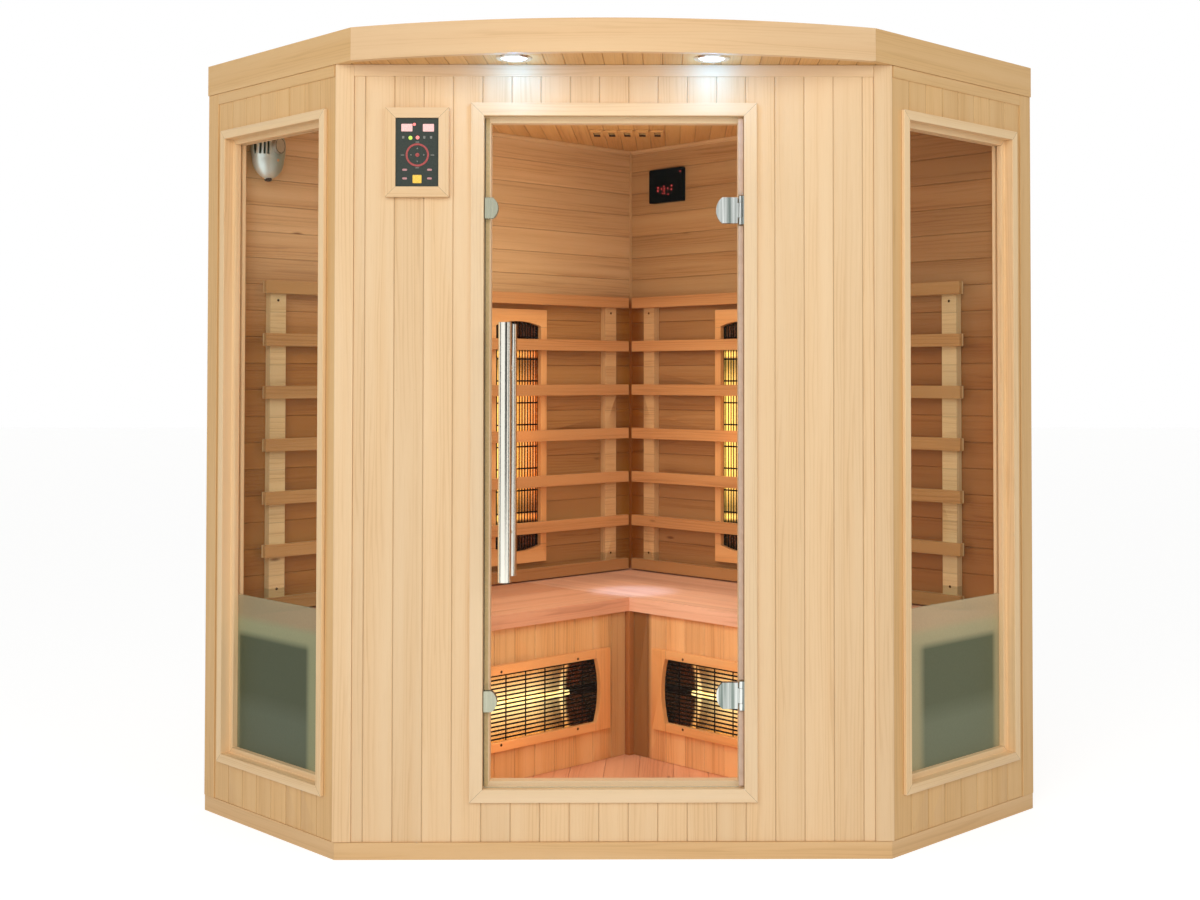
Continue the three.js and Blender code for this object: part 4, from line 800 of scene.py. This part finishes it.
# Lenses of the two spotlights
LENS = ((0.0293, 0.0), (0.0293, 0.0012), (0.0252, 0.0026), (0.0182, 0.0034), (0.0090, 0.0039),
        (0.0014, 0.0040))
lens_white = glowing("lens_white", (255, 253, 246), (255, 248, 236), 1.6)
for side in (LEFT, RIGHT):
    low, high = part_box(f"{side}_spotlight")
    bm = bmesh.new()
    turned(bm, LENS, Vector(((low.x + high.x) / 2, (low.y + high.y) / 2, low.z + 0.0028)), Y, X, 28)
    piece(f"{side}_spot_lens", bm, lens_white, smooth=True)

# Face of the control panel
panel_low, panel_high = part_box("control_panel")
panel_face = Vector(((panel_low.x + panel_high.x) / 2, panel_low.y, (panel_low.z + panel_high.z) / 2))
FACE_HEIGHT = 0.0008


def on_panel(x, z):
    return panel_face + X * x + Z * z


def face_piece(name, material, outlines=(), turns=()):
    bm = bmesh.new()
    for outline, x, z in outlines:
        raised(bm, outline, on_panel(x, z), X, Z, FACE_HEIGHT, FACE_HEIGHT / 3)
    for profile, x, z in turns:
        turned(bm, profile, on_panel(x, z), X, Z)
    piece(name, bm, material, smooth=True)


def led(radius):
    return ((radius, 0.0), (radius, 0.0006), (radius * 0.75, 0.0013), (radius * 0.3, 0.0016))


DISPLAY = rounded(0.0255, 0.0174, 0.0012)
KEY = rounded(0.0205, 0.0190, 0.0016)
PILL = rounded(0.0112, 0.0048, 0.0023)
DASH = rounded(0.0085, 0.0020, 0.0009)
ICON = rounded(0.0050, 0.0060, 0.0010)
ARROW = [(-0.0021, -0.0014), (0.0021, -0.0014), (0.0, 0.0022)]
RING = ((0.0225, 0.0), (0.0225, 0.0007), (0.0232, 0.0010), (0.0262, 0.0010), (0.0269, 0.0007),
        (0.0269, 0.0))
HUB = ((0.0046, 0.0), (0.0046, 0.0005), (0.0036, 0.0009), (0.0012, 0.0010))
RING_PLACE, ARROW_ARM = (0.0006, -0.0061), 0.0150
DASH_PLACES = ((-0.0335, -0.0065), (0.0352, -0.0065), (0.0006, 0.0235), (0.0006, -0.0360))
ICON_PLACES = ((-0.032, 0.0345), (0.0165, 0.0345), (0.032, 0.0345))
display_pink = glowing("display_pink", (246, 206, 196), (232, 164, 164), 0.3, 900.0)
face_piece("control_displays", display_pink, [(DISPLAY, -0.0237, 0.0569), (DISPLAY, 0.0259, 0.0567)])
face_piece("control_red_lamps", glowing("lamp_red", (255, 150, 144), (255, 108, 104), 0.7, 900.0),
           turns=[(led(0.0034), -0.0065, 0.0645), (led(0.0042), 0.0009, 0.0340)])
lamp_green = glowing("lamp_green", (206, 232, 110), (150, 190, 60), 0.6, 900.0)
face_piece("control_green_lamp", lamp_green, turns=[(led(0.0046), -0.0154, 0.0333)])
face_piece("control_key", glowing("key_amber", (244, 208, 92), (222, 172, 52), 0.2, 500.0),
           [(KEY, 0.0001, -0.0619)])
print_grey = plastic("print_grey", (150, 150, 142), (132, 132, 124), 0.5, 0.6, gloss=0.2)
marks = [([(a * c - b * d, a * d + b * c) for a, b in ARROW],
          RING_PLACE[0] - ARROW_ARM * d, RING_PLACE[1] + ARROW_ARM * c)
         for c, d in ((1, 0), (0, 1), (-1, 0), (0, -1))]
marks += [(DASH, x, z) for x, z in DASH_PLACES] + [(ICON, x, z) for x, z in ICON_PLACES]
face_piece("control_marks", print_grey, marks)
pink_marks = plastic("print_pink", (206, 158, 156), (186, 132, 132), 0.5, 0.6, gloss=0.2)
face_piece("control_keys", pink_marks, [(PILL, x, z) for x in (-0.0284, 0.0287) for z in (-0.0404, -0.0605)])
ring_red = plastic("ring_red", (186, 96, 92), (168, 78, 76), 0.45, 0.55, gloss=0.2)
bm = bmesh.new()
turned(bm, RING, on_panel(*RING_PLACE), X, Z, 48, closed=True)
turned(bm, HUB, on_panel(*RING_PLACE), X, Z)
piece("control_ring", bm, ring_red, smooth=True)

# Red lamps of the media panel: shares of its width and of its height from the top, and radius in millimetres
MEDIA_LAMPS = ((0.280, 0.549, 2.3), (0.275, 0.648, 2.3), (0.386, 0.597, 1.7), (0.460, 0.521, 1.6),
               (0.476, 0.600, 1.6), (0.463, 0.664, 1.6), (0.577, 0.596, 1.8), (0.695, 0.530, 2.2),
               (0.691, 0.642, 2.0), (0.593, 0.773, 1.7), (0.418, 0.737, 1.3), (0.484, 0.738, 1.3),
               (0.956, 0.135, 1.5))
media_along, media_face = ends("media_panel", EAST), ends("media_panel", WEST)[1]
media_bottom, media_top = ends("media_panel", Z)
bm = bmesh.new()
for share, drop, size in MEDIA_LAMPS:
    place = EAST * (media_along[0] + share * (media_along[1] - media_along[0])) + WEST * media_face
    place.z = media_top - drop * (media_top - media_bottom)
    turned(bm, led(size / 1000), place, EAST, Z, 12)
media_red = glowing("media_red", (255, 96, 92), (232, 40, 48), 1.3, 900.0)
piece("media_lamps", bm, media_red, smooth=True)

# Screws of the heater frames and of the backrests' uprights
SCREW = ((0.0036, 0.0), (0.0032, 0.0006), (0.0018, 0.0008), (0.0013, 0.0002), (0.0003, 0.0002))
SCREW_FROM_END = 0.118
SCREW_FROM_SIDE = 0.016
UPRIGHT_FROM_CORNER, UPRIGHT_FROM_END = 0.063, 0.043
UPRIGHT_SCREWS = (0.552, 1.302)
UPRIGHT_FACE = 0.0227
screw_dark = metal("dark_screw", (92, 60, 44), (70, 44, 32), 0.4, 0.55)
for side in (LEFT, RIGHT):
    along, inward = ALONG[side], INWARD[side]
    right = Z.cross(inward)
    bm = bmesh.new()
    for level, axis, across in (("back", Z, along), ("calf", along, Z)):
        frame_node = f"{side}_{level}_heater_frame"
        long_ends, cross_ends = ends(frame_node, axis), ends(frame_node, across)
        face = ends(frame_node, inward)[1]
        for a in (long_ends[0] + SCREW_FROM_END, sum(long_ends) / 2, long_ends[1] - SCREW_FROM_END):
            for b in (cross_ends[0] + SCREW_FROM_SIDE, cross_ends[1] - SCREW_FROM_SIDE):
                turned(bm, SCREW, axis * a + across * b + inward * face, right, Z, 14)
    rest_ends, rest_back = ends(f"{side}_backrest", along), ends(f"{side}_backrest", inward)[0]
    for a in (rest_ends[0] + UPRIGHT_FROM_CORNER, rest_ends[1] - UPRIGHT_FROM_END):
        for z in UPRIGHT_SCREWS:
            turned(bm, SCREW, along * a + Z * z + inward * (rest_back + UPRIGHT_FACE), right, Z, 14)
    piece(f"{side}_screws", bm, screw_dark, smooth=True)

# Quarter-round strips between the back walls and the ceiling
CORNICE = 0.011
for side in (LEFT, RIGHT):
    along, inward = ALONG[side], INWARD[side]
    wall_face = ends(f"{side}_seat", inward)[0]
    run = ends(f"{side}_seat", along)[1] - wall_face
    corner = along * (wall_face + CORNICE) + inward * wall_face + Z * (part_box("ceiling_lamp")[1].z)
    right, up = (inward, -Z) if inward.cross(-Z).dot(along) > 0 else (-Z, inward)
    bm = bmesh.new()
    raised(bm, quarter_round(CORNICE), corner, right, up, run - CORNICE)
    cornice_wood = timber(f"{side}_cornice_wood", WARM, level_grain(along, seed=131.0))
    piece(f"{side}_cornice", bm, cornice_wood)

# Quarter-round bead in the inner corner of the back walls, over their mitre
BEAD, BEAD_GAP = 0.005, 0.0003
bead_low = ends("right_seat", Z)[1] + BEAD_GAP
bead_high = ends("ceiling_panel", Z)[0] - BEAD_GAP
bead_place = Z * bead_low
for side in (LEFT, RIGHT):
    bead_place += INWARD[side] * (ends(f"{side}_seat", INWARD[side])[0] + BEAD_GAP)
rest_top = ends("left_backrest", Z)[1]


# Painted shade on the bead below the backrests' top, as on the wall behind them.
def below_rest_top(g):
    return g.spread(g.dot(g.place, Z), rest_top - REST_SOFT[0], rest_top + REST_SOFT[0] / 2, 1.0, 0.0)


bead_wood = timber("bead_wood", UMBER, upright_grain(X, seed=137.0),
                   stains=[(below_rest_top, REST_SHADE[RIGHT])])
bm = bmesh.new()
raised(bm, quarter_round(BEAD), bead_place, WEST, EAST, bead_high - bead_low)
piece("corner_bead", bm, bead_wood)

# Seals: a clear lip on the hinge edge of the glass, and an olive strip on the stop at its free edge, dark
# beside the casing where the gap's shade is painted
glass_low, glass_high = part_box("door_glass")
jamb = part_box("upper_hinge_leaf")[1].x
LIP = [(0.0, 0.0004), (0.0042, 0.0002), (0.0108, 0.0016), (0.0116, 0.0034), (0.0106, 0.0050),
       (0.0046, 0.0052), (0.0044, 0.0072), (0.0, 0.0076)]
SEAL_GAP = 0.003
lip_clear = plastic("lip_clear", (212, 186, 166), (200, 172, 150), 0.35, 0.45, 60.0)
levels = [glass_low.z + SEAL_GAP]
for hinge in ("lower_hinge_leaf", "upper_hinge_leaf"):
    low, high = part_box(hinge)
    levels += [low.z - SEAL_GAP, high.z + SEAL_GAP]
levels.append(glass_high.z - SEAL_GAP)
bm = bmesh.new()
for low, high in zip(levels[0::2], levels[1::2]):
    raised(bm, LIP, Vector((glass_high.x + 0.0002, glass_low.y, low)), X, Y, high - low)
piece("door_seal", bm, lip_clear, body="door", smooth=True)
STOP_FACE = 0.016
STRIP_WIDTH, STRIP_THICKNESS = 0.0105, 0.0014
casing_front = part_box("front_wall")[0].y + 0.003


def strip_finish(edge):
    """Olive rubber, with the gap's shade painted as a dark lip beside the casing."""
    g = Graph("strip_olive", roughness=0.55)
    cloud = g.noise(g.place, 200.0, 2.0)
    olive = g.blend(g.spread(cloud, 0.3, 0.7), linear(212, 184, 132), linear(198, 170, 120))
    g.set("Base Color", g.blend(g.math("GREATER_THAN", g.dot(g.place, X), edge), linear(66, 44, 18), olive))
    return g.material


bm = bmesh.new()
strip = rounded(STRIP_WIDTH, glass_high.z - glass_low.z, 0.001)
strip_place = Vector((-jamb + STRIP_WIDTH / 2, casing_front + STOP_FACE, (glass_low.z + glass_high.z) / 2))
raised(bm, strip, strip_place, X, Z, STRIP_THICKNESS, STRIP_THICKNESS / 3)
piece("door_stop_strip", bm, strip_finish(-jamb + STRIP_WIDTH / 5), smooth=True)

# Rounded cup, dark tip and amber ring of the ionizer
body_low, body_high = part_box("ionizer_body")
egg_middle = (body_low + body_high) / 2
EGG_FLATNESS = 0.6875
CUP = ((0.0110, 0.0040), (0.0200, 0.0085), (0.0268, 0.0140), (0.0324, 0.0205), (0.0366, 0.0275),
       (0.0398, 0.0350), (0.0420, 0.0425), (0.0432, 0.0500), (0.0434, 0.0540))
MARK = ((0.0018, 0.0), (0.0020, 0.0009), (0.0030, 0.0009), (0.0034, 0.0))
MARK_DROP, MARK_REACH, MARK_SUNK = 0.037, 0.2, 0.0002
TIP = ((0.0094, -0.0042), (0.0096, 0.0), (0.0088, 0.0022), (0.0062, 0.0036), (0.0024, 0.0040))
RING_FROM_RIM, RING_HALF = (0.0028, 0.0010), 0.0003
CUP_SIDES = 48
cup_turns = [2 * math.pi * i / CUP_SIDES for i in range(CUP_SIDES)]
bm = bmesh.new()
loft(bm, [[Vector((egg_middle.x, egg_middle.y, body_low.z + rise)) + ALONG[LEFT] * radius * math.cos(turn)
           + INWARD[LEFT] * radius * EGG_FLATNESS * math.sin(turn) for turn in cup_turns]
          for radius, rise in CUP])
cup = piece("ionizer_cup", bm, silver, smooth=True)
bpy.context.view_layer.update()
egg = BVHTree.FromObject(cup, bpy.context.evaluated_depsgraph_get())
button_low, button_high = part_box("ionizer_button")
button_axis = Vector(next(j["axis"] for j in frame["joints"] if j["name"] == "ionizer_press"))
button_middle = (button_low + button_high) / 2
mark_from = button_middle - Z * MARK_DROP - button_axis * MARK_REACH
mark, normal, _, _ = egg.ray_cast(mark_from, button_axis)
mark_right = Z.cross(normal).normalized()
bm = bmesh.new()
turned(bm, MARK, mark - normal * MARK_SUNK, mark_right, normal.cross(mark_right), 18, closed=True)
mark_amber = glowing("mark_amber", (214, 150, 96), (196, 128, 76), 0.2, 900.0)
piece("ionizer_mark", bm, mark_amber, smooth=True)
button = frame["nodes"]["ionizer_button"]
face_level = max(-vertex.co.dot(button_axis) for vertex in button.data.vertices)
button_face = button_middle - button_axis * (face_level + button_middle.dot(button_axis))
rim = max((vertex.co - button_middle).z for vertex in button.data.vertices)
ring_inner, ring_outer = (rim - distance for distance in RING_FROM_RIM)
ring_section = ((ring_inner, -RING_HALF), (ring_inner, RING_HALF),
                (ring_outer, RING_HALF), (ring_outer, -RING_HALF))
bm = bmesh.new()
turned(bm, ring_section, button_face, Z.cross(-button_axis), Z, 36, closed=True)
ring_dark = plastic("ring_dark", (58, 56, 50), (46, 44, 40), 0.4, 0.5)
piece("button_ring", bm, ring_dark, body="ionizer_button", smooth=True)
tip_place = Vector((egg_middle.x, egg_middle.y, body_low.z + 0.0002))
bm = bmesh.new()
turned(bm, TIP, tip_place, Y, X, 24)
tip_dark = plastic("tip_dark", (60, 22, 16), (46, 16, 12), 0.35, 0.45)
piece("ionizer_tip", bm, tip_dark, smooth=True)


# Stage, light and camera
FLOOR_HALF = 30.0
SQUARE = ((-1, -1), (1, -1), (1, 1), (-1, 1))


def plain_stage():
    mesh = bpy.data.meshes.new("studio_floor")
    mesh.from_pydata([(FLOOR_HALF * sx, FLOOR_HALF * sy, 0) for sx, sy in SQUARE], [], [(0, 1, 2, 3)])
    floor = bpy.data.objects.new("studio_floor", mesh)
    bpy.context.scene.collection.objects.link(floor)
    g = Graph("floor_white", roughness=0.9)
    rays = g.new("ShaderNodeLightPath").outputs
    mirrored = g.math("MAXIMUM", rays["Is Glossy Ray"], rays["Is Transmission Ray"])
    seen = g.math("MAXIMUM", rays["Is Camera Ray"], mirrored)
    g.set("Base Color", g.blend(seen, linear(244, 243, 241), linear(176, 176, 174)))
    g.set("Emission Color", (1.0, 1.0, 1.0, 1.0))
    g.set("Emission Strength", g.math("MULTIPLY", seen, 0.76))
    mesh.materials.append(g.material)


def plain_world():
    world = bpy.data.worlds.new("studio")
    bpy.context.scene.world = world
    world.use_nodes = True
    nodes, links = world.node_tree.nodes, world.node_tree.links
    rays = nodes.new("ShaderNodeLightPath").outputs
    shown = nodes.new("ShaderNodeMath")
    shown.operation = "MAXIMUM"
    links.new(rays["Is Camera Ray"], shown.inputs[0])
    other = nodes.new("ShaderNodeMath")
    other.operation = "MAXIMUM"
    links.new(rays["Is Glossy Ray"], other.inputs[0])
    links.new(rays["Is Transmission Ray"], other.inputs[1])
    links.new(other.outputs[0], shown.inputs[1])
    level = nodes.new("ShaderNodeMapRange")
    level.inputs["To Min"].default_value = 0.34
    level.inputs["To Max"].default_value = 1.0
    links.new(shown.outputs[0], level.inputs["Value"])
    nodes["Background"].inputs["Color"].default_value = (1.0, 1.0, 1.0, 1.0)
    links.new(level.outputs["Result"], nodes["Background"].inputs["Strength"])


def lamp(name, kind, place, aim, power, colour=(1.0, 1.0, 1.0), size=0.1, spread=None):
    data = bpy.data.lights.new(name, kind)
    data.energy = power
    data.color = colour
    if kind == "AREA":
        data.size = size
    else:
        data.shadow_soft_size = size
    if spread and kind == "AREA":
        data.spread = spread
    elif spread:
        data.spot_size = spread
        data.spot_blend = 0.9
    light = bpy.data.objects.new(name, data)
    light.location = place
    light.rotation_mode = "QUATERNION"
    light.rotation_quaternion = (Vector(aim) - Vector(place)).to_track_quat("-Z", "Y")
    light.visible_glossy = False
    bpy.context.scene.collection.objects.link(light)


def card(name, place, width, height, colour, other):
    """A card that stands round the cabin and is seen only as a streak in polished metal."""
    across = Z.cross(place).normalized() * width / 2
    mesh = bpy.data.meshes.new(name)
    corners = [place + across * sx + Z * (height / 2 * (1 + sz)) for sx, sz in SQUARE]
    mesh.from_pydata(corners, [], [(0, 1, 2, 3)])
    mesh.materials.append(plastic(f"{name}_felt", colour, other, 0.8, 0.9))
    board = bpy.data.objects.new(name, mesh)
    bpy.context.scene.collection.objects.link(board)
    board.visible_camera = board.visible_diffuse = False
    board.visible_transmission = board.visible_shadow = False


plain_stage()
plain_world()
FELT = ((58, 62, 60), (48, 52, 50))
card("left_card", Vector((-2.5, -1.2, 0.0)), 0.8, 2.4, *FELT)
card("right_card", Vector((2.5, -1.2, 0.0)), 0.8, 2.4, *FELT)
card("front_card", Vector((4.0, -8.6, 0.0)), 6.6, 4.2, *FELT)
lamp("front_soft", "AREA", (-0.8, -5.4, 3.2), (0, -0.5, 0.9), 116.0, size=3.4)
lamp("right_soft", "AREA", (3.4, -4.0, 2.6), (0.2, -0.3, 0.9), 47.5, size=2.8)
lamp("left_soft", "AREA", (-3.6, -3.6, 2.4), (-0.2, -0.3, 0.9), 30.0, size=2.8)
INSIDE = (1.0, 0.98, 0.86)
lamp("inside_top", "AREA", (-0.10, 0.0, 1.78), (-0.05, 0.05, 0.0), 1.6, INSIDE, 0.24, math.radians(110))
lamp("inside_mid", "POINT", (-0.08, -0.05, 1.5), (0.0, 0.0, 0.0), 3.7, INSIDE, 0.12)
lamp("inside_low", "AREA", (-0.1, -0.45, 0.85), (0.05, 0.3, 0.3), 1.3, (1.0, 0.95, 0.78), 0.3)
lamp("inside_pool", "SPOT", (0.0, 0.1, 1.80), (0.02, 0.187, 0.494), 56.0, (0.27, 0.52, 1.0), 0.02,
     math.radians(13))
lamp("header_fill", "AREA", (0.0, -0.80, 1.64), (0.0, -0.66, 1.82), 0.20, (1.0, 0.82, 0.62), 0.6)
AMBER, COOL = (1.0, 0.55, 0.24), (0.09, 0.39, 1.0)
GLOW_AHEAD, DOWNLIGHT_DROP = 0.11, 0.026
for side in (LEFT, RIGHT):
    for level, power in (("calf", 0.5), ("back", 0.15)):
        low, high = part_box(f"{side}_{level}_heater_tube")
        middle = (low + high) / 2
        place = middle + INWARD[side] * GLOW_AHEAD
        lamp(f"{side}_{level}_glow", "POINT", place, middle + INWARD[side], power, AMBER, 0.08)
    low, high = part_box(f"{side}_spotlight")
    middle = (low + high) / 2
    place = (middle.x, middle.y, low.z - DOWNLIGHT_DROP)
    lamp(f"{side}_downlight", "POINT", place, (middle.x, middle.y, 0.0), 0.48, COOL, 0.012)

camera_data = bpy.data.cameras.new("camera")
camera = bpy.data.objects.new("camera", camera_data)
bpy.context.scene.collection.objects.link(camera)
camera_data.sensor_width = SENSOR
camera_data.lens = FOCAL_PX * SENSOR / PICTURE_WIDTH
camera_data.shift_x = -(CENTRE_PX[0] - PICTURE_WIDTH / 2) / PICTURE_WIDTH
camera_data.shift_y = -(PICTURE_HEIGHT / 2 - CENTRE_PX[1]) / PICTURE_WIDTH
camera.location = CAMERA_PLACE
level_forward = Matrix.Rotation(-CAMERA_YAW, 3, "Z") @ Y
forward = level_forward * math.cos(CAMERA_PITCH) + Z * math.sin(CAMERA_PITCH)
camera.rotation_mode = "QUATERNION"
camera.rotation_quaternion = forward.to_track_quat("-Z", "Y")
bpy.context.scene.camera = camera
bpy.context.scene.view_settings.view_transform = "Standard"
